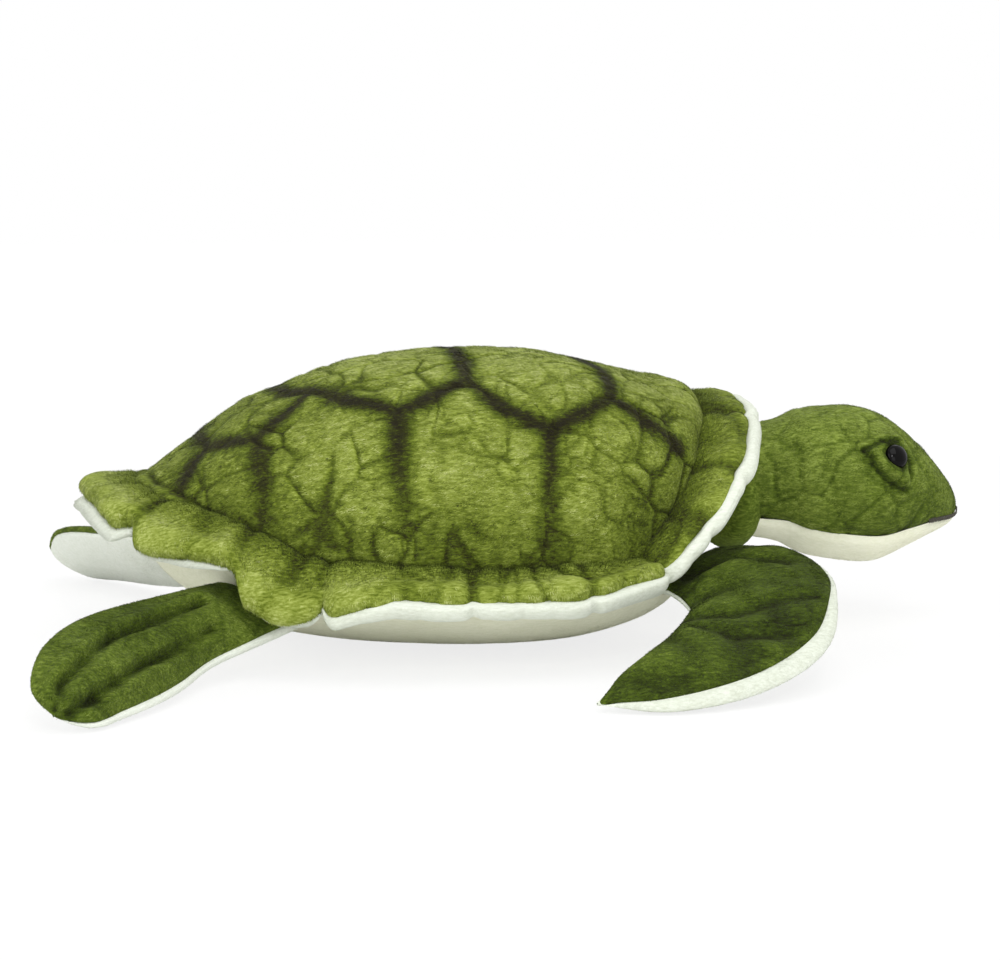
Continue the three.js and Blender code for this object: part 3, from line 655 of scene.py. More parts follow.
def paint_on_shell(points):
    """How dark the airbrushed lines are at each point of the shell."""
    folded = folded_over(points)
    wobble = PAINT_WOBBLE * noise(points, 14, 5)
    dark = np.zeros(points.shape[:-1])
    for path in SHELL_LINES:
        dark = np.maximum(dark, bump_at(distance_to_path(folded, path) + wobble, PAINT_WIDTH))
    for path in COSTAL_LINES:
        fade = share_between(points[..., 2], path[-1][2], path[0][2]) ** 0.42
        line = bump_at(distance_to_path(folded, path) + wobble, COSTAL_PAINT_WIDTH)
        dark = np.maximum(dark, fade * line)
    return dark


def make_shell(settings, offset):
    """Domed green plush with pressed cells, tucks, painted lines, the fold at the rear, and painted shade and
    light.
    """
    turns = np.linspace(0, TURN, settings.skin_columns, endpoint=False)
    shares = np.sin(np.linspace(0, 1, settings.skin_columns // 4) ** 0.9 * math.pi / 2)
    points = dome_point(turns[None, :], shares[:, None])
    ahead, height = points[..., 0], points[..., 2]
    normals = grid_normals(points, True)
    normals *= np.sign(normals[..., 2:3].mean())
    near_seam = share_between(shares[:, None], 0.8, 1) * np.ones_like(turns)[None]
    low_tucks = share_between(height, 98, 38) * noise(points * np.array([1, 1, 0.35]), 26, 3)
    move, crease = pebbled(points * np.array([1, 1, 0.75]), settings, 11)
    move += SHELL_TUCK_DEPTH * low_tucks + SHELL_SWELL * noise(points, 45, 8)
    move -= SHELL_SINK + SHELL_SEAM_SINK * near_seam**3
    move += COLLAR_BULGE * share_between(ahead, 55, 100) * share_between(height, 60, 95)
    fold = bump_at(distance_to_path(folded_over(points), FOLD_LINE), FOLD_WIDTH)
    puff = bump_at(distance_to_path(folded_over(points), PUFF_LINE), PUFF_WIDTH)
    move += PUFF_HEIGHT * puff - FOLD_DEPTH * fold
    dark = paint_on_shell(points) * (1 - 0.8 * puff)
    # Painted shade low down, at the rear, in the hollows between tucks and near the seam under the rim; painted
    # light on the top and on the tucks' swells; the noise is the cloth's own uneven tone
    shade = (
        0.31 + 0.13 * share_between(height, 100, 40) - 0.1 * share_between(height, 120, 150)
        + 0.1 * share_between(ahead, -60, -120) - 0.24 * low_tucks + 0.06 * noise(points, 20, 21)
        + 0.15 * near_seam**6
    )
    # Painted shade in the pressed creases and in the fold at the rear; the airbrushed lines are the shell's
    # print
    tint = np.clip(shade + 0.42 * crease + 0.4 * fold, 0, 0.75) * (1 - dark) + dark * 0.98
    values = plush_values(points, normals, np.array([-1.0, 0, -0.25]), tint)
    placed = points + normals * move[..., None] + offset
    return add_skin("shell_skin", placed, True, values, plush("shell_plush", GREEN_TONES))


def make_belly(settings, offset):
    """Cream cloth of the underside, flat where it rests and drawn in at its seam."""
    turns = np.linspace(0, TURN, settings.skin_columns // 2, endpoint=False)
    shares = np.sin(np.linspace(0, 1, settings.skin_columns // 8) ** 0.9 * math.pi / 2)
    points = belly_point(turns[None, :], shares[:, None])
    normals = grid_normals(points, True)
    normals *= -np.sign(normals[..., 2:3].mean())
    near_seam = share_between(shares[:, None], 0.85, 1) * np.ones_like(turns)[None]
    raised = share_between(points[..., 2], 0, 12)
    waves = 1.3 * noise(points * np.array([1, 1, 0.5]), 38, 4)
    move = raised * (-0.8 + waves) - BELLY_SEAM_SINK * near_seam**3
    move -= BELLY_SINK
    tint = np.clip(0.35 + 0.1 * noise(points, 40, 6), 0, 1)
    values = plush_values(points, normals, np.array([-1.0, 0, 0.2]), tint)
    placed = points + normals * move[..., None] + offset
    return add_skin("belly_skin", placed, True, values, plush("cream_plush", CREAM_TONES))


def rim_turns(from_turn, to_turn, settings):
    """Turns along a stretch of rim, and how full its section is at each, rounded at both ends."""
    gap = RIM_END_GAP / BODY_HALF_WIDTH
    count = int(settings.skin_columns * abs(to_turn - from_turn) / TURN * 1.1)
    ends = np.sin(np.linspace(-math.pi / 2, math.pi / 2, 2 * settings.end_rows))
    middle = np.linspace(0, 1, count)
    round_turn = settings.end_length / MM / BODY_HALF_WIDTH
    first = from_turn + gap + round_turn * (1 + ends[: settings.end_rows])
    last = to_turn - gap - round_turn * (1 - ends[settings.end_rows :])
    between = first[-1] + (last[0] - first[-1]) * middle[1:-1]
    turns = np.concatenate([first, between, last])
    from_end = np.minimum(turns - turns[0], turns[-1] - turns) / round_turn
    full = np.sqrt(np.clip(1 - (1 - np.minimum(from_end, 1)) ** 2, 0, 1))
    return turns, np.maximum(full, RIM_LEAST_FULL)


def rim_points(turns, angles, swell, full, puff):
    """Rows of points round the rim's section. Where it isn't full, at an end, it draws back to its root."""
    middle, along, across, half_width = rim_frame(turns)
    size = (full * (1 + puff))[:, None]
    swell = swell + 0 * size
    reach_along = (half_width * size + swell * full[:, None])[..., None]
    reach_across = (RIM_THICKNESS / 2 * size + swell * full[:, None])[..., None]
    held = middle - along * (0.7 * (1 - full)[:, None] * half_width)
    return (
        held[:, None] + along[:, None] * reach_along * np.cos(angles)[None, :, None]
        + across[:, None] * reach_across * np.sin(angles)[None, :, None]
    )


def rim_pinch(turns):
    """How deep each turn lies in a tuck across the rim."""
    return sum(bump_at(np.degrees(np.abs(turns)) - tuck, RIM_TUCK_WIDTH) for tuck in RIM_TUCKS)


def rim_puff(turns, seed):
    """Puffs along the rim between the tucks in its edge, as shares of its size."""
    line = stacked(turns * BODY_HALF_WIDTH, 0, 0)
    border = cell_border(line, 34, seed)
    puff = 0.2 * (1 - np.exp(-border / 5)) - 0.17 + 0.09 * noise(line, 21, seed + 4)
    return puff - 0.24 * rim_pinch(turns)


def capped(rows):
    """Rows of a tube closed by a row of equal points at both ends."""
    first = np.broadcast_to(rows[:1].mean(axis=1, keepdims=True), rows[:1].shape)
    last = np.broadcast_to(rows[-1:].mean(axis=1, keepdims=True), rows[-1:].shape)
    return np.concatenate([first, rows, last])


def add_tube(name, points, values, material):
    """Skin of a stretch of rim, closed at both ends."""
    values = {key: capped(value) for key, value in values.items()}
    return add_skin(name, capped(points), True, values, material)


def make_rim_cover(name, kind, turns, full, puff, settings, offset, seed):
    """Green roll of a stretch of rim, and the middles of its sections."""
    angles = np.linspace(0, TURN, settings.rim_columns, endpoint=False)
    swell = kind["overhang"] * np.maximum(0, np.cos(angles - 0.25)) ** 1.5
    swell += RIM_ROOT_SWELL * np.maximum(0, -np.cos(angles)) ** 3
    swell = swell + kind["rolled"] * np.maximum(0, np.sin(angles)) ** 2
    points = rim_points(turns, angles, swell[None], full, puff)
    normals = unit(points - points.mean(axis=1, keepdims=True))
    unrolled = stacked(turns[:, None] * 0.6 * BODY_HALF_WIDTH, 3 * np.cos(angles), 3 * np.sin(angles))
    move, crease = pebbled(unrolled, settings, seed + 9, 1.2)
    wave = noise(points, 16, seed + 2)
    outside = np.clip(0.6 + 0.6 * np.cos(angles - 0.8), 0.1, 1)[None]
    points += normals * ((move + (1.9 * wave - 0.9) * outside) * full[:, None])[..., None]
    below = np.clip(-np.sin(angles), 0, 1)[None]
    at_root = np.clip(-np.cos(angles), 0, 1)[None]
    # Painted light on the roll's swells, and painted shade underneath it, at its root against the shell, in its
    # creases and in its tucks
    shade = kind["shade"] - 0.1 * wave + 0.1 * below + 0.3 * at_root**2
    tint = np.clip(shade + 0.3 * crease + 0.3 * rim_pinch(turns)[:, None], 0, 0.75)
    _, along, across, _ = rim_frame(turns)
    nap = along[:, None] * np.sin(angles)[:, None] - across[:, None] * np.cos(angles)[:, None]
    values = plush_values(points, normals, nap, tint)
    cover = add_tube(f"{name}_skin", points + offset, values, plush("shell_plush", GREEN_TONES))
    return cover, points.mean(axis=1, keepdims=True)


def make_rim_lining(name, kind, turns, full, puff, middles, settings, offset, seed):
    """White edge and underside of a stretch of rim: a strip with pile on its outer face only."""
    under = np.radians(np.linspace(kind["white_from"], kind["white_to"], settings.rim_columns // 2))
    degrees = np.degrees(np.abs(turns))
    near_tail = share_between(degrees, TAIL_EDGE_FROM, TAIL_EDGE_FROM + TAIL_EDGE_TURN)
    edge = kind["edge"] + TAIL_EDGE_SWELL * near_tail[:, None]
    thickness = LINING_BACK + (edge - LINING_BACK) * np.maximum(0, np.cos(under + 0.35)) ** 2
    ripple = 0.7 * noise(stacked(turns * BODY_HALF_WIDTH, 0, 0), 13, seed + 6)[:, None]
    ripple = ripple * np.maximum(0, np.cos(under))[None]
    outer = rim_points(turns, under, thickness + ripple, full, puff)
    back = rim_points(turns, under[::-1], np.full(len(under), -LINING_DEPTH)[None], full, puff)
    ring = np.concatenate([outer, back], axis=1)
    tint = np.clip(0.7 + 0.1 * noise(ring, 25, seed), 0, 1)
    outer_only = np.concatenate([np.ones_like(under), np.zeros_like(under)])[None]
    outer_only = outer_only * np.ones_like(turns)[:, None]
    _, along, _, _ = rim_frame(turns)
    nap = np.broadcast_to(along[:, None], ring.shape)
    values = plush_values(ring, unit(ring - middles), nap, tint, outer_only)
    return add_tube(f"{name}_skin", ring + offset, values, plush("white_plush", WHITE_TONES))


def make_rim_stretch(name, from_turn, to_turn, settings, offset, seed):
    """Cover and lining of one stretch of rim."""
    kind = RIM_KINDS[name.split("_cover")[0]]
    turns, full = rim_turns(from_turn, to_turn, settings)
    puff = rim_puff(turns, seed)
    cover, middles = make_rim_cover(name, kind, turns, full, puff, settings, offset, seed)
    lining_name = name.replace("cover", "lining")
    lining = make_rim_lining(lining_name, kind, turns, full, puff, middles, settings, offset, seed)
    return cover, lining


def eye_place(side):
    """Seat of an eye on the head, and the directions out, forwards and upwards there."""
    angle = side * math.acos(EYE_HEIGHT_SHARE ** (HEAD_POWER / 2))
    step = 0.003
    seat = head_point(EYE_ALONG_SHARE, angle)
    ahead = unit(head_point(EYE_ALONG_SHARE + step, angle) - seat)
    around = unit(head_point(EYE_ALONG_SHARE, angle + step) - seat)
    out = unit(np.cross(ahead, around))
    out = out * np.sign(out @ np.array([0, seat[1], seat[2]]))
    up = unit(np.array([0.0, 0, 1]) - out * out[2])
    forward = np.cross(up, out) * side
    forward = forward * np.sign(forward[0])
    return seat, out, forward, up


def eye_folds(points):
    """How far the folds round both eyes move each point outwards, and how much painted shade they give it."""
    move = np.zeros(points.shape[:-1])
    shade = np.zeros(points.shape[:-1])
    for side in (-1, 1):
        seat, out, forward, up = eye_place(side)
        local = points - seat
        near = bump_at(np.abs(local @ out), EYE_FOLD_REACH)
        flat = np.stack([local @ forward, local @ up], axis=-1)
        radius = np.linalg.norm(flat, axis=-1)
        for path in LID_CREASES:
            crease = bump_at(distance_to_path(flat, path), LID_CREASE_WIDTH) * near
            move -= LID_CREASE_DEPTH * crease
            shade += 0.5 * crease
        for path, height, width in EYE_LUMPS:
            move += height * near * bump_at(distance_to_path(flat, path), width)
        move -= EYE_SOCKET_DEPTH * near * bump_at(radius, EYE_SOCKET_WIDTH)
        shade += 0.4 * near * bump_at(radius - EYE_SHADOW_RADIUS, EYE_SHADOW_WIDTH)
    return move, shade


def make_head(settings, offset):
    """Green top of the head and cream throat, sewn together along both sides."""
    back = np.linspace(-math.pi / 2, 0, settings.head_rows // 5, endpoint=False)
    shares = np.concatenate([0 * back, np.linspace(0, 1, settings.head_rows) ** 0.92])
    backs = np.concatenate([back, np.zeros(settings.head_rows)])
    nose = share_between(shares, 0.86, 1)[:, None]
    made = []
    for name, first, last, count, material in (
        ("head", -THROAT_SEAM_ANGLE, THROAT_SEAM_ANGLE, 1.5, plush("flipper_plush", DEEP_GREEN_TONES)),
        ("throat", THROAT_SEAM_ANGLE, TURN - THROAT_SEAM_ANGLE, 0.9, plush("cream_plush", CREAM_TONES)),
    ):
        angles = np.linspace(first, last, int(settings.head_rows * count))
        points = head_point(shares[:, None], angles[None, :])
        shrink = np.cos(backs)[:, None]
        points = points * np.stack([np.ones_like(shrink), shrink, shrink], axis=-1)
        points[..., 0] += NECK_RADIUS * np.sin(backs)[:, None]
        normals = grid_normals(points, False)
        from_middle = points - np.array([HEAD_LENGTH / 2, 0, 0])
        normals *= np.sign((normals * from_middle).sum(axis=-1).mean())
        from_seam = np.minimum(angles - first, last - angles) * HEAD_HALF_WIDTH
        tuck = -HEAD_SEAM_SINK * bump_at(from_seam, HEAD_SEAM_WIDTH)[None]
        if name == "head":
            move, crease = pebbled(points, settings, 51, 0.6)
            folds, fold_shade = eye_folds(points)
            wrinkle = noise(points * np.array([1, 0.45, 0.45]), 13, 53)
            wrinkle = wrinkle * np.clip(1.4 - points[..., 0] / 60, 0.2, 1)
            move = (move + folds + 0.8 * wrinkle) * (1 - 0.7 * nose) + tuck - HEAD_SINK
            below = share_between(points[..., 2], 0, -40)
            above = share_between(points[..., 2], 0, 40)
            # Painted light on the top of the head and on the wrinkles' crests, painted shade underneath, in the
            # creases and in the folds round the eyes; the noise is the cloth's own uneven tone
            tint = (
                0.28 - 0.14 * above + 0.2 * crease + fold_shade - 0.08 * wrinkle + 0.16 * below
                + 0.05 * noise(points, 22, 57)
            )
            tint = np.clip(tint, 0, 0.85)
        else:
            move = tuck - 0.6 + 0.7 * noise(points, 24, 55)
            tint = np.clip(0.25 + 0.08 * noise(points, 30, 58), 0, 1)
        values = plush_values(points, normals, np.array([-1.0, 0, -0.2]), tint, 1 - 0.45 * nose)
        placed = points + normals * move[..., None] + (offset + NECK_CENTRE)
        made.append(add_skin(f"{name}_skin", placed, False, values, material))
    return made


def make_neck(offset):
    """The ball of filling that the head turns on, covered in plush."""
    turns = np.linspace(0, TURN, 64, endpoint=False)
    falls = np.linspace(0, math.pi, 33)[:, None]
    ball = stacked(np.sin(falls) * np.cos(turns), np.sin(falls) * np.sin(turns), np.cos(falls))
    ball = ball * NECK_RADIUS * NECK_SHAPE + NECK_MOVE
    ball += unit(ball) * 0.9 * noise(ball, 12, 61)[..., None]
    values = plush_values(ball, unit(ball), np.array([-1.0, 0, 0]), 0.4 + 0.1 * noise(ball, 12, 62))
    placed = ball + (offset + NECK_CENTRE)
    return add_skin("neck_skin", placed, True, values, plush("flipper_plush", DEEP_GREEN_TONES))


def spline_points(shares, size, places):
    """Points of a smooth line through a table of shares, at places from 0 at its start to 1 at its end."""
    sweep, reach, drop = size
    knots = np.array([(-along * sweep, out * reach, up * drop) for along, out, up in shares])
    knots = np.concatenate([[2 * knots[0] - knots[1]], knots, [2 * knots[-1] - knots[-2]]])
    steps = len(shares) - 1
    place = np.clip(places, 0, 1) * steps
    whole = np.minimum(np.floor(place).astype(int), steps - 1)
    t = (place - whole)[..., None]
    p0, p1, p2, p3 = (knots[whole + i] for i in range(4))
    spans = ((p0, p1), (p1, p2), (p2, p3))
    d0, d1, d2 = (np.linalg.norm(b - a, axis=-1, keepdims=True) ** 0.5 for a, b in spans)
    m1 = ((p1 - p0) / d0 - (p2 - p0) / (d0 + d1) + (p2 - p1) / d1) * d1
    m2 = ((p2 - p1) / d1 - (p3 - p1) / (d1 + d2) + (p3 - p2) / d2) * d1
    return (
        p1 + m1 * t + (-3 * p1 + 3 * p2 - 2 * m1 - m2) * t**2 + (2 * p1 - 2 * p2 + m1 + m2) * t**3
    )


def blade_points(form, side, angles, shares, backs):
    """Grid of part of a flipper, in its own frame, by the angle round its section from the leading edge."""
    lead = spline_points(form["leading"], form["size"], shares)
    trail = spline_points(form["trailing"], form["size"], shares)

    def spine_at(places):
        edges = (spline_points(form[edge], form["size"], places) for edge in ("leading", "trailing"))
        return sum(edges)

    spine = unit(spine_at(shares + BLADE_STEP) - spine_at(shares - BLADE_STEP))
    chord = lead - trail
    across = unit(chord)
    normal = np.cross(spine, across)
    normal = normal * np.sign(normal[:, 2:3])
    upright = np.array([0.0, 0.0, 1.0])
    rooted = np.clip(1 - shares / BLADE_STEP, 0, 1)[:, None]
    normal = unit(normal * (1 - rooted) + upright * rooted)
    half = form["half_thickness"] * smooth_table(form["thickness"], shares)
    half = half * np.sqrt(share_between(1 - shares, 0, TIP_ROUND_SHARE))
    half = np.where(backs > 0, form["root_radius"] * np.cos(backs * math.pi / 2), half)
    back = np.where(backs > 0, form["root_radius"] * np.sin(backs * math.pi / 2), 0)
    tip = share_between(shares, TIP_START, 1)
    half_chord = np.linalg.norm(chord, axis=-1) / 2 * np.sqrt(1 - 0.99 * tip**2)
    middle = (lead + trail) / 2
    points = (
        middle[:, None] + across[:, None] * (half_chord[:, None] * np.cos(angles))[..., None]
        + normal[:, None] * (half[:, None] * np.sin(angles))[..., None]
    )
    points[..., 1] -= back[:, None]
    points += (spine * (form["tip_reach"] * tip**2)[:, None])[:, None]
    flip = np.array([side, 1, 1])
    return points * flip, np.broadcast_to(spine[:, None] * flip, points.shape), half_chord


def path_on(points, path, shares, columns):
    """Points of the grid nearest to the places of a path, given as share and column."""
    rows = [np.abs(shares - share).argmin() for share, _ in path]
    return [points[row, np.abs(columns[row] - column).argmin()] for row, (_, column) in zip(rows, path)]


def upper_folds(form, points, shares, columns, spine, settings):
    """Creases, cells and wrinkles on top of a flipper: how far they move each point, and its painted shade and
    light.
    """
    move = np.zeros(points.shape[:-1])
    shade = np.zeros(points.shape[:-1])
    depth, width = form["crease_depth"], form["crease_width"]
    for path in form["creases"]:
        gap = distance_to_path(points, path_on(points, path, shares, columns))
        gap = gap + 0.8 * noise(points, 9, 73)
        move -= depth * bump_at(gap, width)
        move += 0.5 * depth * bump_at(gap - 2.4 * width, 1.6 * width)
        # Painted shade in the creases and in the rear flippers' sewn channels
        shade += form["crease_shade"] * bump_at(gap, 0.7 * width)
    pebble, crease = pebbled(points, settings, form["cell_seed"], 0.7)
    along = np.einsum("rck,rck->rc", points, spine)
    wrinkle = noise(stacked(along, 0.25 * points[..., 0], 0.25 * points[..., 1]), 9, 75)
    rough = form["wrinkle_depth"]
    move += 0.6 * pebble + rough * wrinkle
    # Painted shade in the cells' creases and painted light on the wrinkles' crests; the noise is the cloth's
    # own uneven tone
    shade += 0.16 * crease - 0.15 * rough * wrinkle + 0.07 * noise(points, 24, 79)
    return move, shade


def make_flipper(end, side_name, side, settings):
    """Green top and white underside of a flipper, in its place on its joint."""
    form = FLIPPERS[end]
    name = f"{end}_flipper_{side_name}"
    joint = next(j for j in frame["record"]["behaviour"]["joints"] if j["name"] == f"{name}_flap")
    x_axis = np.array(joint["axis"], float)
    out = outward_at(np.array(side * math.radians(form["turn"])))
    turn = np.stack([x_axis, out, np.cross(x_axis, out)])
    seat = np.array(joint["pos_m"]) / MM
    rows = settings.flipper_rows
    backs = np.concatenate([np.linspace(1, 0, rows // 10, endpoint=False), np.zeros(rows)])
    shares = np.concatenate([np.zeros(rows // 10), 1 - (1 - np.linspace(0, 1, rows)) ** 1.3])
    lead_seam = np.radians(smooth_table(form["lead_seam"], shares))[:, None]
    trail_seam = math.radians(form["trail_seam"])
    across = np.linspace(0, 1, settings.flipper_columns)
    from_side = np.minimum(np.arange(len(across)), np.arange(len(across))[::-1])
    tuck = -1.0 * bump_at(from_side, 1.2)[None]
    ends = share_between(shares, 0, 0.06)[:, None], share_between(1 - shares, 0, 0.08)[:, None]
    grows = np.where(shares < LAST_PILE_SHARE, 1.0, 0.0)[:, None]
    made = []
    for face, part, material in (
        (1, "upper", plush("flipper_plush", DEEP_GREEN_TONES)),
        (-1, "lower", plush("white_plush", WHITE_TONES)),
    ):
        angles = lead_seam + (face * math.pi - trail_seam - lead_seam) * across
        columns = np.cos(angles)
        points, spine, half_chord = blade_points(form, side, angles, shares, backs)
        normals = grid_normals(points, False)
        normals *= np.sign((normals[..., 2] * face).mean())
        if face > 0:
            from_seam = np.minimum(columns[:, :1] - columns, columns - columns[:, -1:])
            move, shade = upper_folds(form, points, shares, columns, spine, settings)
        else:
            from_seam = 1 - np.abs(columns)
            move, shade = 0.9 * noise(points, 22, 81), 0.06 * noise(points, 25, 83)
        full = share_between(from_seam * half_chord[:, None], 0, 8) * ends[0] * ends[1]
        move = move * full - 0.6 + tuck
        tint = np.clip(form[f"{part}_shade"] + shade, 0, 0.85)
        values = plush_values(points, normals, spine, tint, grows)
        values["nap"] = values["nap"] @ turn
        placed = (points + normals * move[..., None]) @ turn + seat
        made.append(add_skin(f"{name}_{part}_skin", placed, False, values, material))
    return made


# Eyes and mouth


def make_eye(side_name, side, offset):
    """Glossy dome of a safety eye with its shank, turned about the direction in which the eye looks."""
    seat, out, _, _ = eye_place(side)
    rise = np.linspace(0, math.pi / 2, 16)
    profile = [
        (0, -EYE_SHANK_LENGTH), (EYE_SHANK_RADIUS, -EYE_SHANK_LENGTH), (EYE_SHANK_RADIUS, -1),
        (EYE_RADIUS - 0.6, -1), (EYE_RADIUS, -0.5),
    ]
    profile += [(EYE_RADIUS * math.cos(a), 0.4 + (EYE_HEIGHT - 0.4) * math.sin(a)) for a in rise]
    radii, heights = np.array(profile).T[..., None, None]
    aside = unit(np.cross(out, [0.0, 0, 1]))
    turns = np.linspace(0, TURN, 48, endpoint=False)[:, None]
    ring = aside * np.cos(turns) + np.cross(aside, out) * np.sin(turns)
    points = radii * ring[None] + heights * out + (offset + NECK_CENTRE + seat - EYE_SINK * out)
    return add_skin(f"eye_{side_name}_gloss", points, True, {}, eye_material())


def make_mouth(settings, offset):
    """Stitches of the mouth, laid round the snout just above the throat's seam."""
    angle = THROAT_SEAM_ANGLE * (MOUTH_LIFT_SHARE + MOUTH_RAISE_SHARE)
    shares = np.linspace(MOUTH_START_SHARE, MOUTH_END_SHARE, 20)
    path = np.concatenate([head_point(shares, -angle), head_point(shares[::-1], angle)])
    path = path + (offset + NECK_CENTRE)
    mesh = bpy.data.meshes.new("mouth_stitches")
    mesh.from_pydata((path * MM).tolist(), [(i, i + 1) for i in range(len(path) - 1)], [])
    return grown(add_object("mouth_stitches", mesh, []), stitch_tree(thread_material()), {
        "Spacing": settings.stitch_spacing, "Radius": STITCH_RADIUS * MM, "Length": STITCH_LENGTH * MM,
        "Seed": settings.seed,
    })


# Pile and stitches, grown by node trees

MATH = "ShaderNodeMath"
VECTOR_MATH = "ShaderNodeVectorMath"
COMBINE = "ShaderNodeCombineXYZ"
NOISE = "ShaderNodeTexNoise"
RANDOM = "FunctionNodeRandomValue"
NAMED_VALUE = "GeometryNodeInputNamedAttribute"
ADD = {"operation": "ADD"}
SUBTRACT = {"operation": "SUBTRACT"}
MULTIPLY = {"operation": "MULTIPLY"}
SCALE = {"operation": "SCALE"}
MAXIMUM = {"operation": "MAXIMUM"}
GREATER = {"operation": "GREATER_THAN"}

# What is random in each blade and each stitch: what is added to the seed, and the least and most
BLADE_CHANCES = {
    "lift": (1, 0.4, 1.7), "scatter": (2, (-1.0,) * 3, (1.0,) * 3), "roll": (3, (-0.35,) * 3, (0.35,) * 3),
    "length": (4, 0.6, 1.25), "width": (5, 0.7, 1.3), "tone": (6, -0.12, 0.12),
}
STITCH_CHANCES = {"tilt": (7, -0.25, 0.25), "length": (8, 0.38, 0.58)}


def new_tree(name, inputs):
    """Node tree with a mesh going in and out, and a named number for each further input."""
    tree = bpy.data.node_groups.new(name, "GeometryNodeTree")
    tree.interface.new_socket("Geometry", in_out="INPUT", socket_type="NodeSocketGeometry")
    for label, kind in inputs.items():
        tree.interface.new_socket(label, in_out="INPUT", socket_type=f"NodeSocket{kind}")
    tree.interface.new_socket("Geometry", in_out="OUTPUT", socket_type="NodeSocketGeometry")
    return tree, tree.nodes.new("NodeGroupInput"), tree.nodes.new("NodeGroupOutput")


def add_node(tree, kind, settings=None, *given, **by_name):
    """Adds a node with its settings. Values given in order go to the inputs that the node shows, and the
    others to the inputs of their names, with _ for a space. A value is a constant, a socket, or a node, which
    stands for the first output that it shows."""
    node = tree.nodes.new(kind)
    for key, value in (settings or {}).items():
        setattr(node, key, value)
    values = list(zip([socket for socket in node.inputs if socket.enabled], given))
    values += [(node.inputs[key.replace("_", " ")], value) for key, value in by_name.items()]
    for socket, value in values:
        if isinstance(value, bpy.types.Node):
            value = next(output for output in value.outputs if output.enabled)
        if isinstance(value, bpy.types.NodeSocket):
            tree.links.new(value, socket)
        else:
            socket.default_value = value
    return node


def chances(tree, seed, ranges):
    """What is random, by name, each on a seed of its own."""
    made = {}
    for name, (salt, least, most) in ranges.items():
        kind = {"data_type": "FLOAT_VECTOR" if isinstance(least, tuple) else "FLOAT"}
        made[name] = add_node(tree, RANDOM, kind, least, most, Seed=add_node(tree, MATH, ADD, seed, salt))
    return made


def blade_way(tree, normal, place, lift, scatter, chance):
    """Direction of each blade: along the nap, raised, swirled in soft whorls and a little scattered."""
    nap = add_node(tree, NAMED_VALUE, {"data_type": "FLOAT_VECTOR"}, "nap")
    combed = add_node(tree, VECTOR_MATH, {"operation": "NORMALIZE"}, nap)
    raised = add_node(tree, VECTOR_MATH, SCALE, normal, add_node(tree, MATH, MULTIPLY, lift, chance["lift"]))
    whorls = add_node(tree, NOISE, {"noise_dimensions": "3D"}, place, 90.0, 1.0).outputs["Color"]
    swirl = add_node(tree, VECTOR_MATH, SUBTRACT, whorls, (0.5, 0.5, 0.5))
    way = add_node(tree, VECTOR_MATH, ADD, combed, raised)
    way = add_node(tree, VECTOR_MATH, ADD, way, add_node(tree, VECTOR_MATH, SCALE, swirl, 1.6))
    scattered = add_node(tree, VECTOR_MATH, SCALE, chance["scatter"], scatter)
    return add_node(tree, VECTOR_MATH, ADD, way, scattered)


def blade_tone(tree, place, chance):
    """Place of each blade among the tones: the cover's tint, varied in fine clumps, and calmer in the dark."""
    streaked = add_node(tree, VECTOR_MATH, MULTIPLY, place, (0.35, 1.0, 1.0))
    clump = add_node(tree, NOISE, {"noise_dimensions": "3D"}, streaked, 380.0, 1.0)
    clump = add_node(tree, MATH, MULTIPLY, add_node(tree, MATH, SUBTRACT, clump, 0.5), 1.2)
    varied = add_node(tree, MATH, ADD, clump, chance["tone"])
    tint = add_node(tree, NAMED_VALUE, {"data_type": "FLOAT"}, "tint")
    calm = add_node(tree, "ShaderNodeMapRange", {}, tint, 0.45, 0.85, 1.0, 0.25)
    return add_node(tree, MATH, ADD, tint, add_node(tree, MATH, MULTIPLY, varied, calm))


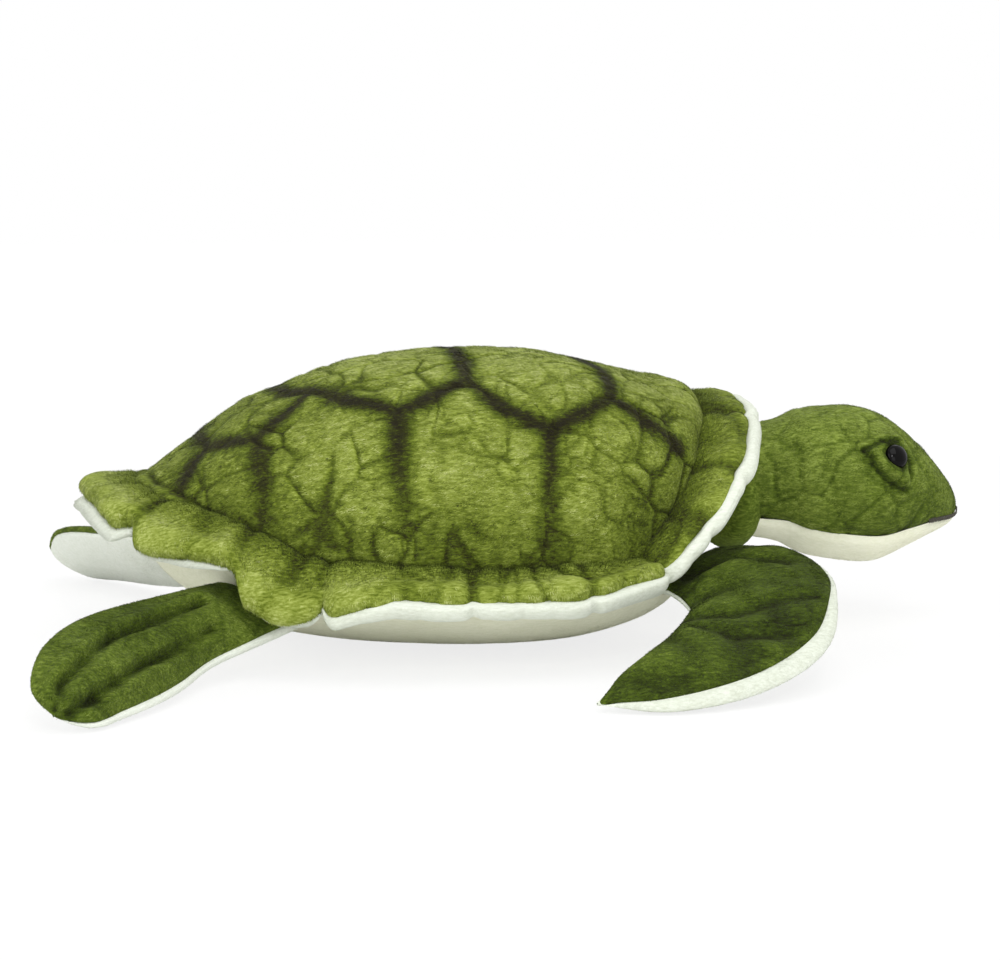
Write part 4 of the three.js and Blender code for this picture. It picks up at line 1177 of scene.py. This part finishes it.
def pile_tree(materials):
    """Grows short combed blades on a cover, each in the cover's tone at its root, painted shade and light
    included.
    """
    tree, given, result = new_tree("pile", {
        "Density": "Float", "Length": "Float", "Width": "Float", "Lift": "Float", "Scatter": "Float",
        "Seed": "Int",
    })
    skin, density, length, width, lift, scatter, seed = given.outputs[:7]
    chance = chances(tree, seed, BLADE_CHANCES)
    place = add_node(tree, "GeometryNodeInputPosition")
    pile_here = add_node(tree, NAMED_VALUE, {"data_type": "FLOAT"}, "pile")
    covered = add_node(tree, MATH, GREATER, pile_here, 0.2)
    spread = add_node(
        tree, "GeometryNodeDistributePointsOnFaces", Mesh=skin, Seed=seed,
        Density=add_node(tree, MATH, MULTIPLY, density, covered),
    )
    toned = add_node(
        tree, "GeometryNodeStoreNamedAttribute", {"data_type": "FLOAT", "domain": "POINT"},
        Geometry=spread.outputs["Points"], Name="tone", Value=blade_tone(tree, place, chance),
    )
    normal = spread.outputs["Normal"]
    facing = add_node(
        tree, "FunctionNodeAxesToRotation", {"primary_axis": "X", "secondary_axis": "Z"},
        blade_way(tree, normal, place, lift, scatter, chance),
        add_node(tree, VECTOR_MATH, ADD, normal, chance["roll"]),
    )
    length_here = add_node(tree, MATH, MULTIPLY, length, pile_here)
    long = add_node(tree, MATH, MULTIPLY, length_here, chance["length"])
    wide = add_node(tree, MATH, MULTIPLY, width, chance["width"])
    triangle = add_node(tree, "GeometryNodeMeshCircle", {"fill_type": "NGON"}, 3, 1.0)
    blade = add_node(
        tree, "GeometryNodeTransform", Geometry=triangle, Translation=(1 / 3, 0, 0),
        Scale=(2 / 3, 3**-0.5, 1),
    )
    blades = add_node(
        tree, "GeometryNodeInstanceOnPoints", Points=toned, Instance=blade, Rotation=facing,
        Scale=add_node(tree, COMBINE, {}, long, wide, 1.0),
    )
    mesh = add_node(tree, "GeometryNodeRealizeInstances", Geometry=blades)
    stored_tone = add_node(tree, NAMED_VALUE, {"data_type": "FLOAT"}, "tone")
    for i, material in enumerate(materials):
        selected = add_node(tree, MATH, GREATER, stored_tone, (i / len(materials)) if i else -9.0)
        mesh = add_node(
            tree, "GeometryNodeSetMaterial", Geometry=mesh, Selection=selected, Material=material,
        )
    tree.links.new(mesh.outputs[0], result.inputs[0])
    return tree


def stitch_tree(material):
    """Lays short slanting stitches side by side along a line."""
    tree, given, result = new_tree("stitches", {
        "Spacing": "Float", "Radius": "Float", "Length": "Float", "Seed": "Int",
    })
    line, spacing, radius, length, seed = given.outputs[:5]
    chance = chances(tree, seed, STITCH_CHANCES)
    curve = add_node(tree, "GeometryNodeMeshToCurve", Mesh=line)
    places = add_node(tree, "GeometryNodeCurveToPoints", {"mode": "LENGTH"}, Curve=curve, Length=spacing)
    facing = add_node(
        tree, "FunctionNodeAxesToRotation", {"primary_axis": "Z", "secondary_axis": "X"},
        add_node(tree, COMBINE, {}, chance["tilt"], chance["tilt"], 1.0), places.outputs["Tangent"],
    )
    tall = add_node(tree, MATH, MULTIPLY, length, chance["length"])
    stitches = add_node(
        tree, "GeometryNodeInstanceOnPoints", Points=places.outputs["Points"], Rotation=facing,
        Instance=add_node(tree, "GeometryNodeMeshUVSphere", {}, 8, 6, 1.0),
        Scale=add_node(tree, COMBINE, {}, radius, radius, tall),
    )
    mesh = add_node(tree, "GeometryNodeRealizeInstances", Geometry=stitches)
    mesh = add_node(tree, "GeometryNodeSetMaterial", Geometry=mesh, Material=material)
    tree.links.new(mesh.outputs[0], result.inputs[0])
    return tree


def grown(obj, tree, values):
    """Runs a tree on a piece, and keeps its result as the piece's plain mesh."""
    modifier = obj.modifiers.new(tree.name, "NODES")
    modifier.node_group = tree
    sockets = {item.name: item.identifier for item in tree.interface.items_tree if item.in_out == "INPUT"}
    for label, value in values.items():
        modifier[sockets[label]] = value
    depsgraph = bpy.context.evaluated_depsgraph_get()
    mesh = bpy.data.meshes.new_from_object(obj.evaluated_get(depsgraph), depsgraph=depsgraph)
    mesh.name = obj.name
    obj.modifiers.remove(modifier)
    obj.data = mesh
    for name in ("nap", "tint", "pile", "tone"):
        if name in mesh.attributes:
            mesh.attributes.remove(mesh.attributes[name])
    return obj


def add_pile(skin, settings, tree, seed, length, density, width):
    """Pile of one cover, as its own piece."""
    area = sum(polygon.area for polygon in skin.data.polygons)
    kept = 1.0
    pile = add_object(skin.name.replace("_skin", "_pile"), skin.data.copy(), [])
    return grown(pile, tree, {
        "Density": min(density * settings.pile_density, settings.most_blades / area) * kept,
        "Length": length * settings.pile_length, "Width": settings.blade_width * width / kept**0.5,
        "Lift": PILE_LIFT, "Scatter": PILE_SCATTER, "Seed": settings.seed + seed,
    })


# Materials


def linear(code):
    """Linear colour of an sRGB hex code."""
    parts = [int(code[i : i + 2], 16) / 255 for i in (1, 3, 5)]
    return (*(v / 12.92 if v <= 0.04045 else ((v + 0.055) / 1.055) ** 2.4 for v in parts), 1.0)


def new_material(name, color, roughness, **sockets):
    material = bpy.data.materials.new(name)
    material.use_nodes = True
    shader = material.node_tree.nodes["Principled BSDF"]
    shader.inputs["Base Color"].default_value = color
    shader.inputs["Roughness"].default_value = roughness
    for key, value in sockets.items():
        shader.inputs[key.replace("_", " ")].default_value = value
    return material


def coloured(material, pattern, tones):
    """Colours a material by a pattern, from the first tone where it is 0 evenly to the last where it is 1."""
    tree = material.node_tree
    ramp = add_node(tree, "ShaderNodeValToRGB", {}, pattern)
    elements = ramp.color_ramp.elements
    for i in range(1, len(tones) - 1):
        elements.new(i / (len(tones) - 1))
    for element, tone in zip(elements, tones):
        element.color = linear(tone)
    tree.links.new(ramp.outputs[0], tree.nodes["Principled BSDF"].inputs["Base Color"])
    return material


def plush(name, tones):
    """Backing cloth of the plush: its tone follows the creases and the painted shade and light that the cover
    carries, with fine streaks of pile and a slightly rough surface that catches the light softly."""
    name = f"{name}_backing"
    if name in bpy.data.materials:
        return bpy.data.materials[name]
    material = new_material(
        name, linear(tones[2]), 0.95, Sheen_Weight=0.1, Sheen_Roughness=0.5, Sheen_Tint=linear(tones[0]),
        Specular_IOR_Level=0.15,
    )
    tree = material.node_tree
    place = add_node(tree, "ShaderNodeTexCoord").outputs["Object"]
    # Streaks about 1 mm wide, coarser than the fibres, which would be too fine to show
    streaks = add_node(
        tree, NOISE, {"noise_dimensions": "3D"}, Scale=900.0, Detail=3.0, Roughness=0.6,
        Vector=add_node(tree, VECTOR_MATH, MULTIPLY, place, (0.3, 1.0, 1.0)),
    )
    spread = add_node(tree, MATH, MULTIPLY, add_node(tree, MATH, SUBTRACT, streaks, 0.5), 1.1)
    tint = add_node(tree, "ShaderNodeAttribute", {"attribute_name": "tint"}).outputs["Fac"]
    bump = add_node(tree, "ShaderNodeBump", Strength=0.5, Distance=0.0006, Height=streaks)
    tree.links.new(bump.outputs[0], tree.nodes["Principled BSDF"].inputs["Normal"])
    return coloured(material, add_node(tree, MATH, ADD, tint, spread), tones)


def blade_materials(name, tones):
    """One plain finish for each tone of the pile: fine matt fibres with a faint sheen at their edges."""
    known = np.array([linear(tone) for tone in tones])
    places = np.linspace(0, 1, BLADE_TONES)
    colours = [np.interp(places, np.linspace(0, 1, len(tones)), part) for part in known.T]
    return [
        new_material(
            f"{name}_{i}", colour, 0.8, Sheen_Weight=0.08, Sheen_Roughness=0.4, Specular_IOR_Level=0.25,
        )
        for i, colour in enumerate(zip(*colours))
    ]


def eye_material():
    """Black glass-like plastic of a safety eye, with a polished surface and a faint brown depth."""
    if "eye_black_resin" in bpy.data.materials:
        return bpy.data.materials["eye_black_resin"]
    material = new_material("eye_black_resin", linear("#0b0a09"), 0.06, IOR=1.2)
    tree = material.node_tree
    place = add_node(tree, "ShaderNodeTexCoord").outputs["Object"]
    depth = add_node(tree, NOISE, {"noise_dimensions": "3D"}, place, 420.0, 2.0)
    return coloured(material, depth, ("#030303", "#0b0908"))


def thread_material():
    """Dark brown embroidery thread, slightly glossy, with its twist as fine stripes."""
    material = new_material("embroidery_thread", linear("#2a2616"), 0.6, Sheen_Weight=0.2)
    tree = material.node_tree
    place = add_node(tree, "ShaderNodeTexCoord").outputs["Object"]
    twist = add_node(tree, "ShaderNodeTexWave", {}, place, 600.0, 1.5)
    return coloured(material, twist, ("#1c180c", "#37321d"))


def washer_material():
    """Milky moulded plastic of the washers that hold the eyes, faintly mottled."""
    material = new_material("milky_plastic", linear("#dcdcd6"), 0.5)
    tree = material.node_tree
    place = add_node(tree, "ShaderNodeTexCoord").outputs["Object"]
    return coloured(material, add_node(tree, NOISE, {}, place, 300.0, 2.0), ("#cfcfc8", "#e6e6e1"))


def floor_material():
    """Pale seamless paper, which keeps the shadow of what stands on it and is white further off."""
    material = new_material("studio_paper", PAPER_COLOUR, 0.9)
    tree = material.node_tree
    place = add_node(tree, "ShaderNodeTexCoord").outputs["Object"]
    away = add_node(tree, VECTOR_MATH, {"operation": "LENGTH"}, place)
    share = add_node(tree, "ShaderNodeMapRange", {}, away, *GLOW_DISTANCES, *GLOW_SHARES)
    camera_ray = add_node(tree, "ShaderNodeLightPath").outputs["Is Camera Ray"]
    seen = add_node(tree, MATH, MULTIPLY, camera_ray, share)
    glow = add_node(tree, "ShaderNodeEmission", {}, WHITE, PAPER_GLOW)
    mix = add_node(tree, "ShaderNodeMixShader", {}, seen, tree.nodes["Principled BSDF"], glow)
    tree.links.new(mix.outputs[0], tree.nodes["Material Output"].inputs["Surface"])
    return material


# Stage

# Each lamp: where it stands and its side, in metres
LAMPS = {
    "key_lamp": ((0.2, -0.9, 1.9), 1.6),
    "side_lamp": ((-1.5, -1.0, 0.9), 1.2),
    "back_lamp": ((0.5, 1.5, 1.2), 1.4),
    "low_lamp": ((0.1, -1.7, 0.3), 0.9),
    "catch_lamp": ((-0.1, -1.5, 0.9), 0.07),
}
LOW_LAMP_SHARE = 0.7

# Floor: its drop in millimetres, the paper's colour, and the glow by which the camera sees it white from the
# second distance on and greyer up to the first, in metres
FLOOR_DROP = 0.5
PAPER_COLOUR = (0.9, 0.9, 0.9, 1)
PAPER_GLOW = 1.02
GLOW_SHARES = (0.78, 1.0)
GLOW_DISTANCES = (0.3, 0.9)
WHITE = (1, 1, 1, 1)


def studio_world(settings):
    """White world, which lights the object less brightly than it shows."""
    world = bpy.data.worlds.new("studio")
    world.use_nodes = True
    tree = world.node_tree
    rays = add_node(tree, "ShaderNodeLightPath").outputs
    seen = add_node(tree, MATH, MAXIMUM, rays["Is Camera Ray"], rays["Is Glossy Ray"])
    seen = add_node(tree, MATH, MAXIMUM, seen, rays["Is Transmission Ray"])
    strength = add_node(tree, "ShaderNodeMapRange", {}, seen, 0.0, 1.0, settings.fill_strength, 1.0)
    shader = tree.nodes["Background"]
    shader.inputs["Color"].default_value = WHITE
    tree.links.new(strength.outputs[0], shader.inputs["Strength"])
    return world


def studio_floor(settings):
    """Square of paper just below what stands on it."""
    mesh = bpy.data.meshes.new("studio_floor")
    reach = settings.floor_reach
    corners = [(-reach, -reach, 0), (reach, -reach, 0), (reach, reach, 0), (-reach, reach, 0)]
    mesh.from_pydata(corners, [], [(0, 1, 2, 3)])
    floor = add_object("studio_floor", mesh, [floor_material()])
    floor.location.z = -FLOOR_DROP * MM


def studio_lamps(settings, aim):
    """Soft lamps, and the small one that puts a highlight in the eye."""
    powers = {
        "key_lamp": settings.key_power, "side_lamp": settings.side_power, "back_lamp": settings.side_power,
        "low_lamp": LOW_LAMP_SHARE * settings.side_power, "catch_lamp": settings.catch_power,
    }
    for name, (place, size) in LAMPS.items():
        light = bpy.data.lights.new(name, "AREA")
        light.size = size
        light.energy = powers[name]
        lamp = bpy.data.objects.new(name, light)
        lamp.location = place
        lamp.rotation_euler = (aim - Vector(place)).to_track_quat("-Z", "Y").to_euler()
        bpy.context.scene.collection.objects.link(lamp)


def studio_camera(settings, aim):
    """Camera of the photograph: where it stands is given by two angles and a distance from its aim."""
    azimuth, elevation = settings.camera_azimuth, settings.camera_elevation
    toward = Vector((
        math.sin(azimuth) * math.cos(elevation), -math.cos(azimuth) * math.cos(elevation),
        math.sin(elevation),
    ))
    data = bpy.data.cameras.new("camera")
    data.lens = settings.camera_lens
    data.shift_y = settings.camera_shift
    camera = bpy.data.objects.new("camera", data)
    camera.location = aim + toward * settings.camera_distance
    camera.rotation_euler = (-toward).to_track_quat("-Z", "Y").to_euler()
    bpy.context.scene.collection.objects.link(camera)
    bpy.context.scene.camera = camera


def make_stage(settings):
    """White studio floor and world, soft lamps, and the camera of the photograph."""
    scene = bpy.context.scene
    aim = Vector((settings.aim_x, 0, settings.aim_z))
    scene.world = studio_world(settings)
    studio_floor(settings)
    studio_lamps(settings, aim)
    studio_camera(settings, aim)
    scene.view_settings.view_transform = "Standard"


# Add-on


class TurtleSettings(bpy.types.PropertyGroup):
    cell_size: FloatProperty(
        name="Cell size", description="Width of a pressed cell", default=0.024, unit="LENGTH",
    )
    cell_depth: FloatProperty(
        name="Cell depth", description="Depth of a cell's crease", default=0.0016, unit="LENGTH",
    )
    pile_length: FloatProperty(
        name="Pile length", description="Length of a blade", default=0.0016, unit="LENGTH",
    )
    blade_width: FloatProperty(
        name="Blade width", description="Width of a blade", default=0.00037, unit="LENGTH",
    )
    pile_density: FloatProperty(name="Pile density", description="Blades on a square metre", default=1.9e6)
    most_blades: FloatProperty(name="Most blades", description="Most blades on one cover", default=185000)
    stitch_spacing: FloatProperty(
        name="Stitch spacing", description="From stitch to stitch", default=0.0009, unit="LENGTH",
    )
    end_length: FloatProperty(
        name="Round end", description="Length of a rim's round end", default=0.009, unit="LENGTH",
    )
    rim_overlap: FloatProperty(
        name="Rim overlap", description="Turn by which a stretch covers the next", default=math.radians(3.5),
        subtype="ANGLE",
    )
    skin_columns: IntProperty(name="Skin columns", description="Cells round the body", default=600)
    rim_columns: IntProperty(name="Rim columns", description="Cells round the rim", default=36)
    end_rows: IntProperty(name="End rows", description="Rows in a rim's round end", default=8)
    head_rows: IntProperty(name="Head rows", description="Rows along the head", default=96)
    flipper_rows: IntProperty(name="Flipper rows", description="Rows along a flipper", default=100)
    flipper_columns: IntProperty(name="Flipper columns", description="Columns across a flipper", default=56)
    seed: IntProperty(name="Seed", description="Seed of all that is random in the pile", default=3)
    fill_strength: FloatProperty(name="Fill", description="Light from all round", default=0.64)
    key_power: FloatProperty(name="Key", description="Power of the main lamp", default=18.0, unit="POWER")
    side_power: FloatProperty(name="Side", description="Power of the side lamps", default=7.0, unit="POWER")
    catch_power: FloatProperty(
        name="Highlight", description="Power of the lamp that shows in the eye", default=4.0, unit="POWER",
    )
    floor_reach: FloatProperty(name="Floor", description="Half the floor's side", default=6.0, unit="LENGTH")
    aim_x: FloatProperty(name="Aim along", description="Place aimed at", default=-0.007, unit="LENGTH")
    aim_z: FloatProperty(name="Aim height", description="Height aimed at", default=0.049, unit="LENGTH")
    camera_distance: FloatProperty(
        name="Distance", description="Camera's distance", default=1.3, unit="LENGTH",
    )
    camera_azimuth: FloatProperty(
        name="Azimuth", description="Turn from the turtle's right side", default=math.radians(-9),
        subtype="ANGLE",
    )
    camera_elevation: FloatProperty(
        name="Elevation", description="Angle above the floor", default=math.radians(8.8), subtype="ANGLE",
    )
    camera_lens: FloatProperty(name="Lens", description="Focal length in mm", default=88.8)
    camera_shift: FloatProperty(name="Shift", description="Camera's upward shift", default=0.06)


def carry(piece, body, stretch):
    """Puts a piece on its body; given a stretch, it only bakes the piece's place into its mesh, on no body."""
    if stretch is None:
        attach(piece, body)
    else:
        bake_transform(piece)


def piled(skin, settings, cloth, body, nodes, seed, length=1.0, density=1.0, width=1.0, stretch=None):
    """Puts a cover on its body in place of the CAD nodes, which it hides, and grows its pile. Length, density
    and width are shares of those in the settings."""
    fibre, tones, slot = cloth
    carry(skin, body, stretch)
    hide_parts(*nodes)
    tree = bpy.data.node_groups.get(f"pile_{fibre}")
    if tree is None:
        tree = pile_tree(blade_materials(fibre, tones))
        tree.name = f"pile_{fibre}"
    pile = add_pile(skin, settings, tree, seed, length, density, width)
    carry(pile, body, stretch)


SIDES = (("left", 1), ("right", -1))


class TURTLE_OT_body(bpy.types.Operator):
    """Build the shell and the belly with their pile"""

    bl_idname = "turtle.body"
    bl_label = "Body"

    def execute(self, context):
        settings, offset = context.scene.turtle, body_offset()
        shell = make_shell(settings, offset)
        piled(shell, settings, SHELL_CLOTH, "root", ["shell_cover", "body_stuffing"], 10)
        belly = make_belly(settings, offset)
        piled(belly, settings, CREAM_CLOTH, "root", ["belly_cover"], 20, 0.4, 0.8, 0.8)
        return {"FINISHED"}


class TURTLE_OT_rim(bpy.types.Operator):
    """Build the rolled collar and the rim with its white lining"""

    bl_idname = "turtle.rim"
    bl_label = "Rim and collar"

    def execute(self, context):
        settings, offset = context.scene.turtle, body_offset()
        overlap = settings.rim_overlap
        stretches = [("collar_cover", -COLLAR_END - overlap / 2, COLLAR_END + overlap / 2)]
        for side_name, side in SIDES:
            ends = side * (COLLAR_END - overlap / 2), side * (SIDE_RIM_END + overlap)
            stretches.append((f"side_rim_cover_{side_name}", *ends))
            stretches.append((f"rear_rim_cover_{side_name}", side * SIDE_RIM_END, side * (math.pi + overlap)))
        for i, (name, first, last) in enumerate(stretches):
            ends = min(first, last), max(first, last)
            cover, lining = make_rim_stretch(name, *ends, settings, offset, 30 + 7 * i)
            piled(cover, settings, SHELL_CLOTH, "root", [name], 30 + i)
            nodes = [name.replace("cover", "lining")]
            piled(lining, settings, WHITE_CLOTH, "root", nodes, 40 + i, 0.45, 1.0, 0.8)
        return {"FINISHED"}


class TURTLE_OT_head(bpy.types.Operator):
    """Build the head, its throat, the neck, the eyes and the mouth"""

    bl_idname = "turtle.head"
    bl_label = "Head"

    def execute(self, context):
        settings, offset = context.scene.turtle, body_offset()
        head, throat = make_head(settings, offset)
        piled(head, settings, DEEP_CLOTH, "head", ["head_cover", "head_stuffing"], 50, 0.8, 1.1, 0.9)
        piled(throat, settings, CREAM_CLOTH, "head", ["throat_cover"], 51, 0.45, 1.0, 0.8)
        joint = (offset + NECK_CENTRE) * MM
        stretch = [
            tuple(joint + np.array([move * MM, 0, 0])) for move in (NECK_STRETCH_START, NECK_STRETCH_END)
        ]
        neck = make_neck(offset)
        piled(neck, settings, DEEP_CLOTH, "neck", ["neck_stuffing"], 52, 0.5, 0.3, stretch=stretch)
        for side_name, side in SIDES:
            eye = make_eye(side_name, side, offset)
            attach(eye, "head")
            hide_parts(f"eye_{side_name}")
        mouth = make_mouth(settings, offset)
        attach(mouth, "head")
        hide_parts("mouth_embroidery")
        plastic = washer_material()
        for side_name, _ in SIDES:
            for material_slot in bpy.data.objects[f"eye_washer_{side_name}"].material_slots:
                material_slot.material = plastic
        return {"FINISHED"}


class TURTLE_OT_flippers(bpy.types.Operator):
    """Build the four flippers with their sewn channels and folds"""

    bl_idname = "turtle.flippers"
    bl_label = "Flippers"

    def execute(self, context):
        settings = context.scene.turtle
        for i, end in enumerate(FLIPPERS):
            for side_name, side in SIDES:
                upper, lower = make_flipper(end, side_name, side, settings)
                body = f"{end}_flipper_{side_name}"
                seed = 4 * i + side
                nodes = [f"{body}_upper_cover", f"{body}_stuffing"]
                piled(upper, settings, DEEP_CLOTH, body, nodes, 60 + seed, 0.7, 1.2, 0.9)
                nodes = [f"{body}_lower_cover"]
                piled(lower, settings, WHITE_CLOTH, body, nodes, 70 + seed, 0.45, 1.0, 0.8)
        return {"FINISHED"}


class TURTLE_OT_stage(bpy.types.Operator):
    """Set up the white floor, the soft lamps and the camera"""

    bl_idname = "turtle.stage"
    bl_label = "Studio"

    def execute(self, context):
        make_stage(context.scene.turtle)
        return {"FINISHED"}


OPERATORS = (TURTLE_OT_body, TURTLE_OT_rim, TURTLE_OT_head, TURTLE_OT_flippers, TURTLE_OT_stage)


class TURTLE_PT_panel(bpy.types.Panel):
    bl_label = "Turtle"
    bl_idname = "TURTLE_PT_panel"
    bl_space_type = "VIEW_3D"
    bl_region_type = "UI"
    bl_category = "Turtle"

    def draw(self, context):
        for operator in OPERATORS:
            self.layout.operator(operator.bl_idname)


def register():
    for item in (TurtleSettings, *OPERATORS, TURTLE_PT_panel):
        bpy.utils.register_class(item)
    bpy.types.Scene.turtle = PointerProperty(type=TurtleSettings)


def unregister():
    del bpy.types.Scene.turtle
    for item in reversed((TurtleSettings, *OPERATORS, TURTLE_PT_panel)):
        bpy.utils.unregister_class(item)


def main():
    """Builds the studio and the turtle."""
    register()
    bpy.ops.turtle.stage()
    bpy.ops.turtle.body()
    bpy.ops.turtle.rim()
    bpy.ops.turtle.head()
    bpy.ops.turtle.flippers()


if __name__ == "__main__":
    main()
